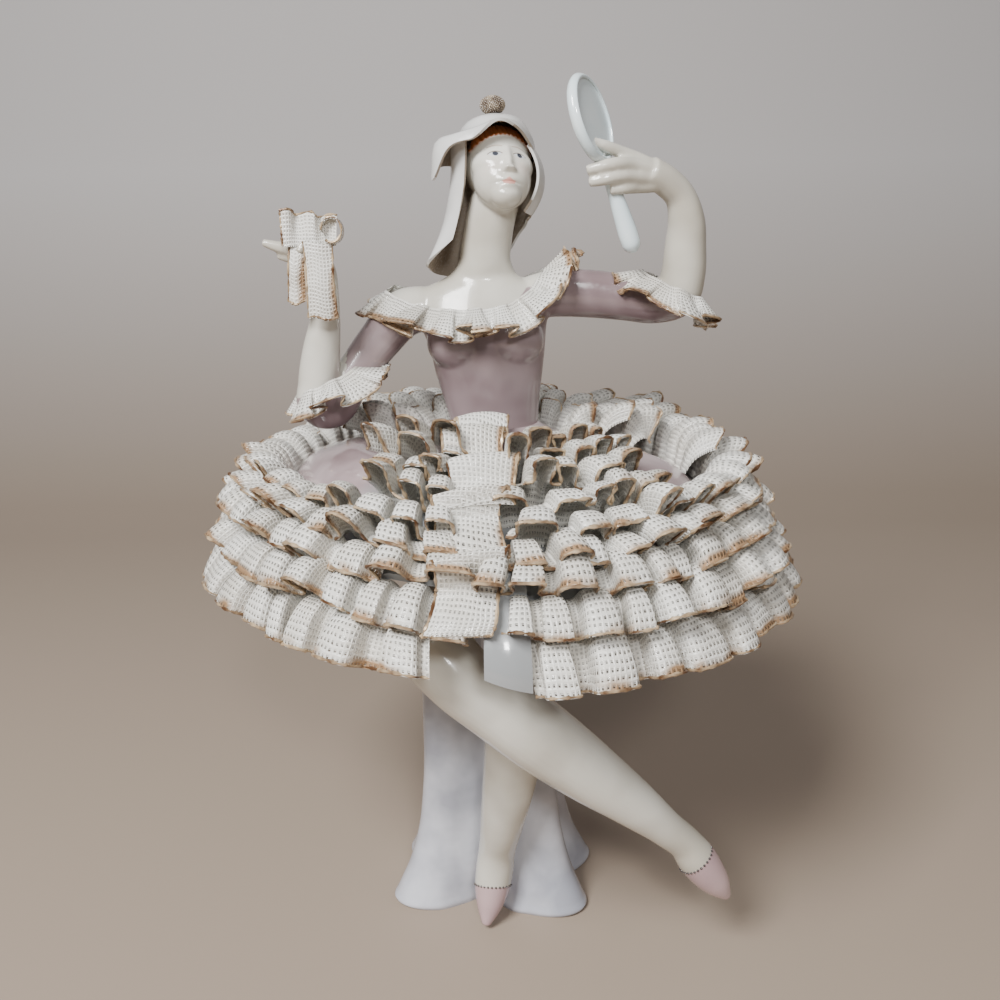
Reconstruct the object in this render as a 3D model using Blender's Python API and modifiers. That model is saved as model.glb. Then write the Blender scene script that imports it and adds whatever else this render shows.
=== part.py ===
"""Porcelain ballerina figurine with a lace skirt, a hand mirror and a draped pedestal.

All figures below are in millimetres. The origin is the centre of the pedestal's underside,
+X is the viewer's right and the front of the figurine faces -Y.
"""
import math

import bmesh
import bpy
from mathutils import Matrix, Vector
from mathutils.bvhtree import BVHTree

MM = 0.001
CLEARANCE = 0.35          # air left between two pieces that touch on the real figurine

# The skirt: its axis, and how it leans forward and to the viewer's right
SKIRT_X = 4.0
LEAN_FRONT = 0.045
LEAN_SIDE = 0.022
# Underskirt, from the waist to its lower edge: radius, height
UNDERSKIRT = [(19.0, 183.0), (28.0, 177.0), (40.0, 173.0), (53.0, 169.5), (65.0, 165.5),
              (75.0, 160.0), (83.0, 153.0), (88.5, 143.0), (91.0, 128.0)]
UNDERSKIRT_THICKNESS = 2.6
UNDERSKIRT_SIDES = 32

# Lace rows, from the hem up: name, gathered edge (radius, height), free edge (radius, height),
# the angles where the strip starts and ends, from the front, positive to the viewer's right
ROWS = [
    ("ruffle_1_hem", (90.8, 140.0), (109.0, 132.0), 5.0, 352.0),
    ("ruffle_2", (86.8, 149.0), (103.5, 147.0), 5.0, 348.0),
    ("ruffle_3", (81.2, 156.8), (96.5, 158.5), 6.0, 346.0),
    ("ruffle_4", (72.6, 163.2), (87.5, 168.5), 7.0, 344.0),
    ("ruffle_5", (61.6, 168.4), (76.0, 177.5), 9.0, 240.0),
    ("ruffle_5_front_left", (61.6, 168.4), (76.0, 177.5), 312.0, 342.0),
    ("ruffle_6_front_right", (49.6, 172.2), (62.5, 182.0), 11.0, 50.0),
    ("ruffle_6_front_left", (49.6, 172.2), (62.5, 182.0), 312.0, 337.0),
    ("ruffle_6_back", (49.6, 172.2), (62.5, 182.0), 122.0, 236.0),
    ("ruffle_7_front_right", (37.6, 175.6), (48.5, 185.0), 14.0, 50.0),
    ("ruffle_7_front_left", (37.6, 175.6), (48.5, 185.0), 308.0, 328.0),
    ("ruffle_7_back", (37.6, 175.6), (48.5, 188.0), 122.0, 236.0),
    ("ruffle_8_back", (27.0, 179.4), (36.0, 190.0), 115.0, 245.0),
]
WAVE_PITCH = 19.0         # one fold of a row, along its free edge
WAVE_HEIGHT = 3.6         # how far the free edge swings to either side
LACE = 1.2                # thickness of the lace with its glaze

# Front cascade: distance from the skirt's axis, height, half width
CASCADE = [(31.0, 185.5, 8.0), (45.0, 183.5, 9.5), (58.0, 180.0, 10.5), (71.0, 176.0, 11.0),
           (83.0, 169.0, 11.0), (92.0, 160.5, 10.5), (98.5, 150.0, 9.5)]
CASCADE_X = -6.5
CASCADE_FOLD = 1.0

# Pedestal: height, mean radius, depth of the folds
PEDESTAL = [(0.0, 33.0, 7.0), (4.0, 32.0, 7.0), (14.0, 28.5, 6.0), (28.0, 25.5, 5.0),
            (45.0, 24.0, 4.2), (80.0, 23.5, 3.8), (120.0, 24.0, 3.0), (146.0, 22.0, 1.5)]
PEDESTAL_FOLDS = (23.0, 83.0, 143.0, 203.0, 323.0)
PEDESTAL_RECESS = (264.0, 15.5, 30.0)     # direction, radius left there, half width in degrees
PEDESTAL_SIDES = 40

# Trunk, from the pelvis up: centre x, y, z, half width, half depth
TRUNK = [(4.0, 9.0, 146.0, 13.0, 11.0), (4.0, 8.0, 152.0, 23.0, 17.0), (4.0, 7.0, 161.0, 25.0, 18.0),
         (4.0, 5.0, 171.0, 19.5, 14.5), (4.0, 3.0, 180.0, 16.0, 12.0), (3.0, 2.0, 190.0, 16.6, 12.4),
         (2.2, 1.2, 200.0, 18.6, 13.4), (1.6, 0.4, 211.0, 20.4, 14.4), (0.6, 0.6, 218.0, 22.2, 14.0),
         (0.0, 2.0, 225.0, 25.0, 11.6), (0.2, 3.0, 230.5, 20.5, 9.8), (0.4, 3.2, 234.0, 12.5, 8.6),
         (0.6, 2.6, 238.0, 8.8, 8.0), (1.6, 1.6, 247.0, 8.2, 7.6), (4.0, 0.5, 258.0, 8.4, 8.0),
         (5.5, 0.0, 264.0, 8.0, 8.0)]
# Round masses: centre, half sizes
MASSES = [((-9.0, -7.0, 213.5), (9.0, 8.6, 8.6)), ((10.5, -7.0, 213.5), (9.0, 8.6, 8.6)),
          ((5.6, 0.8, 272.6), (10.4, 11.0, 11.0)), ((6.6, -4.2, 264.0), (8.2, 7.8, 9.2)),
          ((-26.0, 3.0, 224.0), (8.6, 8.0, 7.4)), ((25.5, 3.0, 228.0), (8.6, 8.0, 7.6))]
# Limbs: points of the bone line with the radius there
LIMBS = {
    "right arm": [(-20.0, 3.0, 226.0, 8.0), (-29.0, 2.5, 222.0, 8.0), (-43.0, -0.5, 205.0, 7.2),
                  (-55.0, -4.0, 190.0, 7.2), (-57.0, -6.0, 193.0, 7.4), (-56.0, -8.0, 203.0, 7.0),
                  (-53.0, -11.0, 218.0, 5.6), (-51.0, -13.5, 231.0, 4.0), (-51.5, -15.0, 238.0, 4.4),
                  (-53.5, -17.0, 245.0, 4.2), (-58.0, -18.5, 247.0, 2.2), (-68.0, -19.0, 250.5, 1.5)],
    "left arm": [(20.0, 3.0, 229.0, 8.4), (30.0, 2.0, 228.0, 8.4), (50.0, -2.0, 226.0, 7.6),
                 (66.0, -4.0, 224.0, 7.8), (71.5, -5.0, 228.0, 8.0), (72.5, -6.0, 238.0, 7.2),
                 (71.5, -8.0, 250.0, 5.8), (67.0, -10.0, 260.0, 4.4), (59.0, -14.0, 265.0, 4.8),
                 (51.0, -18.0, 268.0, 4.4), (44.0, -24.0, 270.0, 3.2), (38.0, -24.6, 271.0, 2.4)],
    "right leg": [(-3.0, 8.0, 158.0, 15.0), (-9.0, -22.0, 145.0, 14.0), (-14.0, -54.0, 130.5, 12.0),
                  (-14.5, -68.0, 122.5, 11.5), (-4.0, -69.0, 112.0, 11.5), (13.0, -66.0, 96.5, 12.4),
                  (34.0, -60.5, 77.0, 10.5), (54.0, -55.0, 58.0, 7.2), (67.0, -52.0, 46.0, 6.0),
                  (70.0, -52.5, 40.0, 6.8), (76.0, -52.5, 31.0, 5.6), (81.5, -52.0, 24.5, 2.6)],
    "left leg": [(11.0, 8.0, 158.0, 14.5), (11.0, -20.0, 140.0, 13.0), (10.0, -46.0, 119.0, 11.0),
                 (10.0, -47.0, 108.0, 10.4), (9.0, -42.0, 88.0, 9.8), (7.0, -36.0, 66.0, 8.8),
                 (3.5, -29.0, 42.0, 7.0), (1.5, -24.5, 27.0, 6.2), (0.5, -24.5, 19.0, 6.8),
                 (-1.5, -28.5, 10.0, 5.6), (-3.2, -32.0, 3.6, 2.6)],
}
FIGURE_VOXEL = 1.15
FIGURE_TRIANGLES = 2600

# Hand mirror: centre of the disc, end of the handle, direction that the back faces
MIRROR_CENTRE = (35.0, -20.0, 284.0)
MIRROR_HANDLE_END = (50.5, -16.0, 241.7)
MIRROR_BACK = (0.89, -0.45, 0.0)
MIRROR_HALF = (15.0, 13.0)
MIRROR_THICKNESS = 3.2

# Hat: centre, then rings from the crown down: radius, height
HAT_CENTRE = (5.6, 0.6)
HAT = [(4.0, 286.6), (9.0, 284.9), (12.6, 280.8), (13.8, 276.0), (16.0, 274.2)]
POMPOM = (5.2, -1.0, 290.6)
POMPOM_RADIUS = 3.3

# Veil: height, radius, extra reach at the viewer's left
VEIL = [(272.4, 13.4, 0.0), (266.0, 13.6, 0.5), (255.0, 13.4, 2.0), (243.0, 13.6, 6.0)]
VEIL_FROM, VEIL_TO = 68.0, 282.0

# Neckline and elbow loops: points near the figure's surface
NECKLINE = [(0.0, -15.0, 222.5), (12.0, -14.5, 223.5), (22.0, -10.5, 227.0), (30.0, -3.0, 234.5),
            (32.0, 5.0, 236.5), (24.0, 12.0, 233.0), (10.0, 14.0, 229.5), (-6.0, 14.5, 228.0),
            (-20.0, 13.0, 227.5), (-30.0, 7.0, 229.5), (-33.0, -1.0, 228.0), (-25.0, -9.0, 224.5),
            (-13.0, -14.0, 222.5)]

scene = bpy.context.scene
for old in list(bpy.data.objects):
    bpy.data.objects.remove(old, do_unlink=True)
for old in list(bpy.data.collections):
    bpy.data.collections.remove(old)
model = bpy.data.collections.new("ballerina_figurine")
guides = bpy.data.collections.new("guides")
scene.collection.children.link(model)
scene.collection.children.link(guides)


def material(name, colour, roughness):
    """A Principled material."""
    made = bpy.data.materials.new(name)
    made.use_nodes = True
    shader = made.node_tree.nodes["Principled BSDF"]
    shader.inputs["Base Color"].default_value = (*colour, 1.0)
    shader.inputs["Roughness"].default_value = roughness
    return made


SKIN = material("porcelain_skin", (0.80, 0.75, 0.66), 0.16)
WHITE = material("white_glaze", (0.83, 0.83, 0.84), 0.14)
MAUVE = material("mauve_lustre", (0.55, 0.42, 0.47), 0.18)
LACE_WHITE = material("ivory_lace", (0.80, 0.77, 0.70), 0.45)
MIRROR_WHITE = material("pale_blue_glaze", (0.70, 0.76, 0.76), 0.12)
BEAD = material("brown_beads", (0.32, 0.24, 0.17), 0.5)


def finish(name, bm, look, collection=model):
    """Makes an object of a mesh in millimetres, with its faces turned outward."""
    bmesh.ops.recalc_face_normals(bm, faces=bm.faces)
    if bm.calc_volume(signed=True) < 0.0:
        bmesh.ops.reverse_faces(bm, faces=bm.faces)
    bmesh.ops.scale(bm, vec=(MM, MM, MM), verts=bm.verts)
    data = bpy.data.meshes.new(name)
    bm.to_mesh(data)
    bm.free()
    made = bpy.data.objects.new(name, data)
    data.materials.append(look)
    collection.objects.link(made)
    return made


def loft(bm, rings):
    """A closed skin through rings of equal length, with a fan at both ends."""
    loops = [[bm.verts.new(p) for p in ring] for ring in rings]
    count = len(loops[0])
    for lower, upper in zip(loops, loops[1:]):
        for i in range(count):
            j = (i + 1) % count
            bm.faces.new((lower[i], lower[j], upper[j], upper[i]))
    bm.faces.new(loops[0])
    bm.faces.new(loops[-1])


def around(centre, x_axis, y_axis, half_x, half_y, count):
    """Points of an ellipse."""
    turn = 2.0 * math.pi / count
    return [centre + x_axis * half_x * math.cos(i * turn) + y_axis * half_y * math.sin(i * turn)
            for i in range(count)]


def limb(bm, points, count=14):
    """A round limb along its bone line."""
    places = [Vector(p[:3]) for p in points]
    side = None
    rings = []
    for i, place in enumerate(places):
        ahead = places[min(i + 1, len(places) - 1)]
        behind = places[max(i - 1, 0)]
        along = (ahead - behind).normalized()
        if side is None:
            side = along.orthogonal().normalized()
        side = (side - along * side.dot(along)).normalized()
        rings.append(around(place, side, along.cross(side), points[i][3], points[i][3], count))
    loft(bm, rings)


def skirt_point(radius, height, degrees):
    """A point of the leaning skirt."""
    turn = math.radians(degrees)
    x = radius * math.sin(turn)
    y = -radius * math.cos(turn)
    return Vector((SKIRT_X + x, y, height + LEAN_FRONT * y - LEAN_SIDE * x))


# The figure: trunk, head and limbs flowed into one casting
bm = bmesh.new()
UP, RIGHT, BACK = Vector((0, 0, 1)), Vector((1, 0, 0)), Vector((0, 1, 0))
loft(bm, [around(Vector(t[:3]), RIGHT, BACK, t[3], t[4], 20) for t in TRUNK])
for centre, half in MASSES:
    place = Matrix.Translation(centre) @ Matrix.Diagonal((*half, 1.0))
    bmesh.ops.create_icosphere(bm, subdivisions=3, radius=1.0, matrix=place)
for points in LIMBS.values():
    limb(bm, points)
figure = finish("figure", bm, SKIN)
flow = figure.modifiers.new("flow", "REMESH")
flow.mode = "VOXEL"
flow.voxel_size = FIGURE_VOXEL * MM
soften = figure.modifiers.new("soften", "SMOOTH")
soften.factor = 0.5
soften.iterations = 4


def bake(made):
    """Turns an object's modifiers into plain mesh."""
    view = bpy.context.evaluated_depsgraph_get()
    data = bpy.data.meshes.new_from_object(made.evaluated_get(view))
    made.modifiers.clear()
    made.data = data
    data.name = made.name
    return made


# The mirror: a shallow disc with a raised rim, and a handle that swells to its end
bm = bmesh.new()
handle_end = Vector(MIRROR_HANDLE_END)
centre = Vector(MIRROR_CENTRE)
long_axis = (centre - handle_end).normalized()
face = Vector(MIRROR_BACK)
face = (face - long_axis * face.dot(long_axis)).normalized()
across = long_axis.cross(face)
rings = []
for offset, size in ((-0.5, 0.90), (-0.5, 1.0), (0.5, 1.0), (0.5, 0.90)):
    rings.append(around(centre + face * offset * MIRROR_THICKNESS, long_axis, across,
                        MIRROR_HALF[0] * size, MIRROR_HALF[1] * size, 24))
rings.insert(0, around(centre - face * 0.8, long_axis, across, 12.6, 10.8, 24))
rings.append(around(centre + face * 0.8, long_axis, across, 12.6, 10.8, 24))
loft(bm, rings)
mirror = finish("hand_mirror", bm, MIRROR_WHITE)
bm = bmesh.new()
length = (centre - handle_end).length
limb(bm, [(*(handle_end + long_axis * d), r) for d, r in
          ((0.0, 1.2), (0.8, 2.2), (4.0, 2.7), (12.0, 2.4), (24.0, 1.9), (length - 13.4, 1.9))], 10)
handle = finish("handle", bm, MIRROR_WHITE, guides)
join = mirror.modifiers.new("handle", "BOOLEAN")
join.operation = "UNION"
join.solver = "EXACT"
join.object = handle
bake(mirror)


def grown(made, by):
    """A hidden copy of an object, swollen along its normals."""
    bm = bmesh.new()
    bm.from_mesh(made.data)
    bm.normal_update()
    moves = [(v, v.normal.copy()) for v in bm.verts]
    for vert, normal in moves:
        vert.co += normal * by * MM
    data = bpy.data.meshes.new(made.name + "_clearance")
    bm.to_mesh(data)
    bm.free()
    copy = bpy.data.objects.new(made.name + "_clearance", data)
    guides.objects.link(copy)
    return copy


def cut(made, tool):
    """Takes a tool away from an object."""
    taken = made.modifiers.new("clearance", "BOOLEAN")
    taken.operation = "DIFFERENCE"
    taken.solver = "EXACT"
    taken.use_self = True
    taken.object = tool


bake(figure)
thin = figure.modifiers.new("facets", "DECIMATE")
thin.ratio = FIGURE_TRIANGLES / (2.0 * len(figure.data.polygons))
bake(figure)
cut(figure, grown(mirror, CLEARANCE))
bake(figure)

bm = bmesh.new()
bm.from_mesh(figure.data)
bmesh.ops.triangulate(bm, faces=bm.faces)
skin_tree = BVHTree.FromBMesh(bm)
bm.free()


def off_skin(point, gap):
    """The point on the figure's surface nearest to a point, moved outward by a gap."""
    place, normal, _, _ = skin_tree.find_nearest(point * MM)
    return place / MM + normal * gap, normal


def clear_of_skin(point, gap):
    """The point itself, or where it lies too near the figure, the nearest point that doesn't."""
    place, normal, _, distance = skin_tree.find_nearest(point * MM)
    inside = (point * MM - place).dot(normal) < 0.0
    if inside or distance / MM < gap:
        return place / MM + normal * gap
    return point


def largest_body(made):
    """Leaves only the largest connected body of an object."""
    bm = bmesh.new()
    bm.from_mesh(made.data)
    left = set(bm.verts)
    bodies = []
    while left:
        todo = [min(left, key=lambda v: v.index)]
        body = set(todo)
        while todo:
            for edge in todo.pop().link_edges:
                for vert in edge.verts:
                    if vert not in body:
                        body.add(vert)
                        todo.append(vert)
        left -= body
        bodies.append(body)
    bodies.sort(key=len)
    for body in bodies[:-1]:
        bmesh.ops.delete(bm, geom=list(body), context="VERTS")
    bm.to_mesh(made.data)
    bm.free()


# The pedestal: folds of drapery round a column, spread at the foot
bm = bmesh.new()
rings = []
for height, radius, depth in PEDESTAL:
    ring = []
    for i in range(PEDESTAL_SIDES):
        angle = 360.0 * i / PEDESTAL_SIDES
        swell = 0.0
        for fold in PEDESTAL_FOLDS:
            apart = abs((angle - fold + 180.0) % 360.0 - 180.0)
            swell = max(swell, math.cos(math.radians(min(apart * 3.0, 180.0))))
        reach = radius + depth * (swell * 2.0 - 0.9 if swell > 0.0 else -0.9)
        apart = abs((angle - PEDESTAL_RECESS[0] + 180.0) % 360.0 - 180.0)
        if apart < PEDESTAL_RECESS[2]:
            blend = 0.5 + 0.5 * math.cos(math.pi * apart / PEDESTAL_RECESS[2])
            reach += (PEDESTAL_RECESS[1] - reach) * blend
        turn = math.radians(angle)
        ring.append(Vector((reach * math.cos(turn), reach * math.sin(turn) + 2.0, height)))
    rings.append(ring)
loft(bm, rings)
pedestal = finish("draped_pedestal", bm, WHITE)
cut(pedestal, grown(figure, CLEARANCE + 0.1))
bake(pedestal)

# The underskirt: a thin dome round the waist
bm = bmesh.new()
inner = []
for i, (radius, height) in enumerate(UNDERSKIRT):
    before = Vector(UNDERSKIRT[max(i - 1, 0)])
    after = Vector(UNDERSKIRT[min(i + 1, len(UNDERSKIRT) - 1)])
    slope = (after - before).normalized()
    inner.append((radius + slope.y * UNDERSKIRT_THICKNESS, height - slope.x * UNDERSKIRT_THICKNESS))
section = UNDERSKIRT + inner[::-1]
columns = []
for i in range(UNDERSKIRT_SIDES):
    degrees = 360.0 * i / UNDERSKIRT_SIDES
    columns.append([bm.verts.new(skirt_point(r, z, degrees)) for r, z in section])
for i in range(UNDERSKIRT_SIDES):
    here, there = columns[i], columns[(i + 1) % UNDERSKIRT_SIDES]
    for j in range(len(section)):
        k = (j + 1) % len(section)
        bm.faces.new((here[j], there[j], there[k], here[k]))
finish("underskirt", bm, MAUVE)


def strip(name, rows, look, closed=False):
    """A strip of lace from its outer rows of points, given thickness inward."""
    bm = bmesh.new()
    sections = [[bm.verts.new(p) for p in row] for row in rows]
    count = len(sections)
    depth = len(sections[0])
    for i in range(count if closed else count - 1):
        here, there = sections[i], sections[(i + 1) % count]
        for j in range(depth):
            k = (j + 1) % depth
            bm.faces.new((here[j], there[j], there[k], here[k]))
    if not closed:
        bm.faces.new(sections[0])
        bm.faces.new(sections[-1])
    return finish(name, bm, look)


# The lace rows: each strip is gathered at the skirt and swings in folds at its free edge
for name, (r0, z0), (r1, z1), start, end in ROWS:
    run = Vector((r1 - r0, z1 - z0)).normalized()
    lift = Vector((-run.y, run.x))
    waves = max(1, round(math.radians(end - start) * r1 / WAVE_PITCH))
    steps = waves * 4
    rows = []
    for i in range(steps + 1):
        degrees = start + (end - start) * i / steps
        swing = math.cos(0.5 * math.pi * i)
        low = Vector((r1, z1)) + lift * swing * WAVE_HEIGHT
        high = Vector((r0, z0)) + lift * swing * 0.3
        rows.append([skirt_point(high.x, high.y, degrees), skirt_point(low.x, low.y, degrees),
                     skirt_point(low.x - lift.x * LACE, low.y - lift.y * LACE, degrees),
                     skirt_point(high.x - lift.x * LACE, high.y - lift.y * LACE, degrees)])
    strip(name, rows, LACE_WHITE)

# The cascade: one strip down the front with folds across it
rows = []
for i in range(2 * len(CASCADE) - 1):
    a = CASCADE[i // 2]
    b = CASCADE[min((i + 1) // 2, len(CASCADE) - 1)]
    reach, height, half = [(p + q) / 2.0 for p, q in zip(a, b)]
    before, after = CASCADE[max(i // 2 - 1, 0)], CASCADE[min(i // 2 + 1, len(CASCADE) - 1)]
    slope = Vector((after[0] - before[0], after[1] - before[1])).normalized()
    swing = CASCADE_FOLD * (1 if i % 2 else -1)
    reach -= slope.y * swing
    height += slope.x * swing
    top = [Vector((CASCADE_X - half, -reach, height - LEAN_FRONT * reach)),
           Vector((CASCADE_X + half, -reach, height - LEAN_FRONT * reach))]
    drop = Vector((0.0, -slope.y * LACE, -slope.x * LACE))
    rows.append([top[0], top[1], top[1] + drop, top[0] + drop])
strip("front_cascade", rows, LACE_WHITE)


def frill(name, loop, centre, axis, width, flare, waves, swing_height, snap):
    """A closed frill round a loop on the figure, its free edge hanging against the axis in folds."""
    points = [Vector(p) for p in loop]
    axis = Vector(axis).normalized()
    count = waves * 4
    rows = []
    for i in range(count):
        place = i * len(points) / count
        k = int(place)
        f = place - k
        p0, p1, p2, p3 = (points[(k + n - 1) % len(points)] for n in range(4))
        here = 0.5 * ((2 * p1) + (p2 - p0) * f + (2 * p0 - 5 * p1 + 4 * p2 - p3) * f * f
                      + (3 * p1 - p0 - 3 * p2 + p3) * f ** 3)
        top = off_skin(here, 1.0)[0] if snap else here
        out = here - Vector(centre)
        out = (out - axis * out.dot(axis)).normalized()
        spread = flare + (2.4 * out.x ** 6 if snap else 0.0)
        run = (out * spread - axis).normalized()
        lift = (out + axis * spread).normalized()
        swing = swing_height * (1.0 + math.cos(0.5 * math.pi * i))
        low = top + run * width
        low = (clear_of_skin(low, 1.8) if snap else low) + lift * swing
        rows.append([top, low, low + lift * LACE, top + lift * LACE])
    return strip(name, rows, LACE_WHITE, closed=True)


frill("collar_frill", NECKLINE, (0.0, 2.0, 226.0), (0.0, 0.0, 1.0), 8.5, 0.55, 20, 1.3, True)


def elbow_loop(centre, axis, radius):
    """A loop of points round an elbow."""
    axis = Vector(axis).normalized()
    side = axis.cross(BACK).normalized()
    return around(Vector(centre), side, axis.cross(side), radius, radius, 16)


for name, centre, axis in (("cuff_frill_right", (-56.5, -6.8, 199.5), (-0.30, -0.10, 0.95)),
                           ("cuff_frill_left", (71.0, -5.6, 234.5), (0.25, -0.05, 0.97))):
    cuff = frill(name, elbow_loop(centre, axis, 9.0), centre, axis, 6.5, 0.8, 8, 1.2, False)
    cut(cuff, grown(figure, CLEARANCE))
    bake(cuff)
    largest_body(cuff)

# The hat: crown and brim as one shell, the brim drooping at the viewer's left
bm = bmesh.new()
shells = []
for inset in (0.0, 1.3):
    shell = []
    for n, (radius, height) in enumerate(HAT):
        ring = []
        for i in range(20):
            angle = 2.0 * math.pi * i / 20
            reach, drop = radius - inset, 0.0
            if n == len(HAT) - 1:
                left = max(0.0, -math.cos(angle))
                front = max(0.0, -math.sin(angle))
                reach = radius + 4.5 * left + 1.2 * front
                drop = -2.5 * left + 8.0 * front ** 2
            low = -inset if n < len(HAT) - 1 else -inset * 0.9
            ring.append(Vector((HAT_CENTRE[0] + reach * math.cos(angle),
                                HAT_CENTRE[1] + reach * 0.98 * math.sin(angle), height + drop + low)))
        shell.append(ring)
    shells.append(shell)
loft(bm, shells[0] + shells[1][::-1])
finish("hat", bm, WHITE)

bm = bmesh.new()
bmesh.ops.create_icosphere(bm, subdivisions=2, radius=POMPOM_RADIUS, matrix=Matrix.Translation(POMPOM))
finish("hat_pompom", bm, BEAD)

# The veil: a cloth behind the head that flares at its lower left
rows = []
for i in range(17):
    degrees = VEIL_FROM + (VEIL_TO - VEIL_FROM) * i / 16
    turn = math.radians(degrees)
    outer, inner = [], []
    for height, radius, extra in VEIL:
        reach = radius + extra * max(0.0, -math.sin(turn)) + 0.3 * math.cos(0.5 * math.pi * i)
        for thickness, line in ((0.0, inner), (LACE, outer)):
            r = reach + thickness
            line.append(Vector((HAT_CENTRE[0] + r * math.sin(turn),
                                HAT_CENTRE[1] - r * math.cos(turn), height)))
    rows.append(outer + inner[::-1])
strip("veil", rows, WHITE)

# The lace in her right hand: two tails and a gathered knot as one folded strip
bm = bmesh.new()
section = [(-62.5, 226.5), (-57.0, 224.0), (-50.5, 226.0), (-49.6, 240.0), (-46.0, 250.0),
           (-45.5, 256.5), (-51.0, 254.0), (-58.0, 260.0), (-64.0, 259.0), (-64.5, 251.0), (-62.0, 246.0)]
front = [Vector((x, -24.2 - 0.8 * (i % 2), z)) for i, (x, z) in enumerate(section)]
back = [p + Vector((0.0, 1.6, 0.0)) for p in front]
loft(bm, [front, back])
finish("lace_bow", bm, LACE_WHITE)

for tool in guides.objects:
    tool.hide_render = True
    tool.display_type = "WIRE"
total = 0
for made in model.objects:
    made.data.calc_loop_triangles()
    total += len(made.data.loop_triangles)
print("pieces", len(model.objects), "triangles", total)
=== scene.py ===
"""Glazed porcelain ballerina with a lace skirt and a hand mirror: how it looks.

Figures are in millimetres until each mesh is brought to metres. +X is the viewer's right,
the front faces -Y, and the origin is the centre of the pedestal's underside.
"""
import math

import bmesh
import bpy
import numpy as np
from mathutils import Matrix, Vector
from mathutils.bvhtree import BVHTree


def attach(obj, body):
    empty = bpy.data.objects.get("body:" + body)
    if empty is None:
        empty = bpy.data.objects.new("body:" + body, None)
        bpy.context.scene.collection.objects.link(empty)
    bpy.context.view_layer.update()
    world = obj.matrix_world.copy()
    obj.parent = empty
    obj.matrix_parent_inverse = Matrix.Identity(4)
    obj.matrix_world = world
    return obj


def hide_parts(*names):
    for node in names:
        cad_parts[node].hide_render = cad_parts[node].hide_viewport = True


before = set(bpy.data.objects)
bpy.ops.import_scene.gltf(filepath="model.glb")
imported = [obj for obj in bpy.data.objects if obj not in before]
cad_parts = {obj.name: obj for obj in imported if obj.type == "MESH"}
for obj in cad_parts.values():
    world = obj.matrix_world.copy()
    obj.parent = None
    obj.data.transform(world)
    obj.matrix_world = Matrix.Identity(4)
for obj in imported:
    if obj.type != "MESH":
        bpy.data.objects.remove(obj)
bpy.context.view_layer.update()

# The draped pedestal: a hollow white casting shaped as cloth that falls in deep folds round
# a column and spreads at the foot. A recess at its front takes the standing foot.
# Cool white glaze that wanders at random between a paler and a darker tone, both a little blue.
PEDESTAL = [(0, 33, 7), (1.2, 34.2, 7.2), (4, 33, 7.2), (14, 29, 6.2), (28, 25.6, 5.2),
            (45, 24, 4.4), (80, 23.4, 3.9), (120, 24, 3.2), (146, 22, 1.6)]
PEDESTAL_HEIGHT = 146.0
PEDESTAL_FOLDS = (23.0, 83.0, 143.0, 203.0, 323.0)
FOLD_HALF = 34.0
RECESS_AT, RECESS_REACH, RECESS_HALF = 259.0, 13.0, 33.0


def smooth_line(places, values):
    """A function that follows values at places with a smooth curve."""
    places = np.asarray(places, float)
    values = np.asarray(values, float)
    slope = np.gradient(values, places, axis=0)

    def follow(at):
        at = np.clip(np.asarray(at, float), places[0], places[-1])
        k = np.clip(np.searchsorted(places, at, side="right") - 1, 0, len(places) - 2)
        width = places[k + 1] - places[k]
        f = (at - places[k]) / width
        if values.ndim > 1:
            f, width = f[..., None], width[..., None]
        return ((2 * f ** 3 - 3 * f ** 2 + 1) * values[k] + (f ** 3 - 2 * f ** 2 + f) * width * slope[k]
                + (3 * f ** 2 - 2 * f ** 3) * values[k + 1] + (f ** 3 - f ** 2) * width * slope[k + 1])
    return follow


def barrel(bm, sides, cuts):
    """Adds a capped upright barrel, one high and one in radius, with rings between its ends."""
    count = len(bm.verts)
    made = bmesh.ops.create_cone(bm, cap_ends=True, segments=sides, radius1=1.0, radius2=1.0, depth=1.0,
                                 matrix=Matrix.Translation((0.0, 0.0, 0.5)))["verts"]
    upright = [e for e in {e for v in made for e in v.link_edges}
               if abs(e.verts[0].co.z - e.verts[1].co.z) > 0.5]
    bmesh.ops.subdivide_edges(bm, edges=upright, cuts=cuts)
    return bm.verts[:][count:]


def put(name, data):
    """Makes an object of data and links it to the scene."""
    made = bpy.data.objects.new(name, data)
    bpy.context.scene.collection.objects.link(made)
    return made


def finish(name, bm, materials, angle=40.0):
    """Makes a piece of a mesh in millimetres and lets it ride on the figurine."""
    bmesh.ops.scale(bm, vec=(0.001, 0.001, 0.001), verts=bm.verts)
    data = bpy.data.meshes.new(name)
    bm.to_mesh(data)
    bm.free()
    data.polygons.foreach_set("use_smooth", [True] * len(data.polygons))
    if angle:
        data.set_sharp_from_angle(angle=math.radians(angle))
    piece = put(name, data)
    for material in materials:
        data.materials.append(material)
    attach(piece, "root")
    return piece


def add(tree, kind, values=(), **settings):
    """A new shader node with its settings and the values of its sockets."""
    node = tree.nodes.new("ShaderNode" + kind)
    for label, value in settings.items():
        setattr(node, label, value)
    for socket, value in dict(values).items():
        node.inputs[socket].default_value = value
    return node


def wire(tree, *runs):
    """Links nodes. Each run says a node and its output, then a node and its input."""
    for source, out, target, into in runs:
        tree.links.new(source.outputs[out], target.inputs[into])


def effect(name, takes, gives):
    """A node group that takes and gives numbers, with its input and its output node."""
    group = bpy.data.node_groups.new(name, "ShaderNodeTree")
    for labels, way in ((takes, "INPUT"), (gives, "OUTPUT")):
        for label in labels:
            group.interface.new_socket(label, in_out=way, socket_type="NodeSocketFloat")
    return group, group.nodes.new("NodeGroupInput"), group.nodes.new("NodeGroupOutput")


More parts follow.
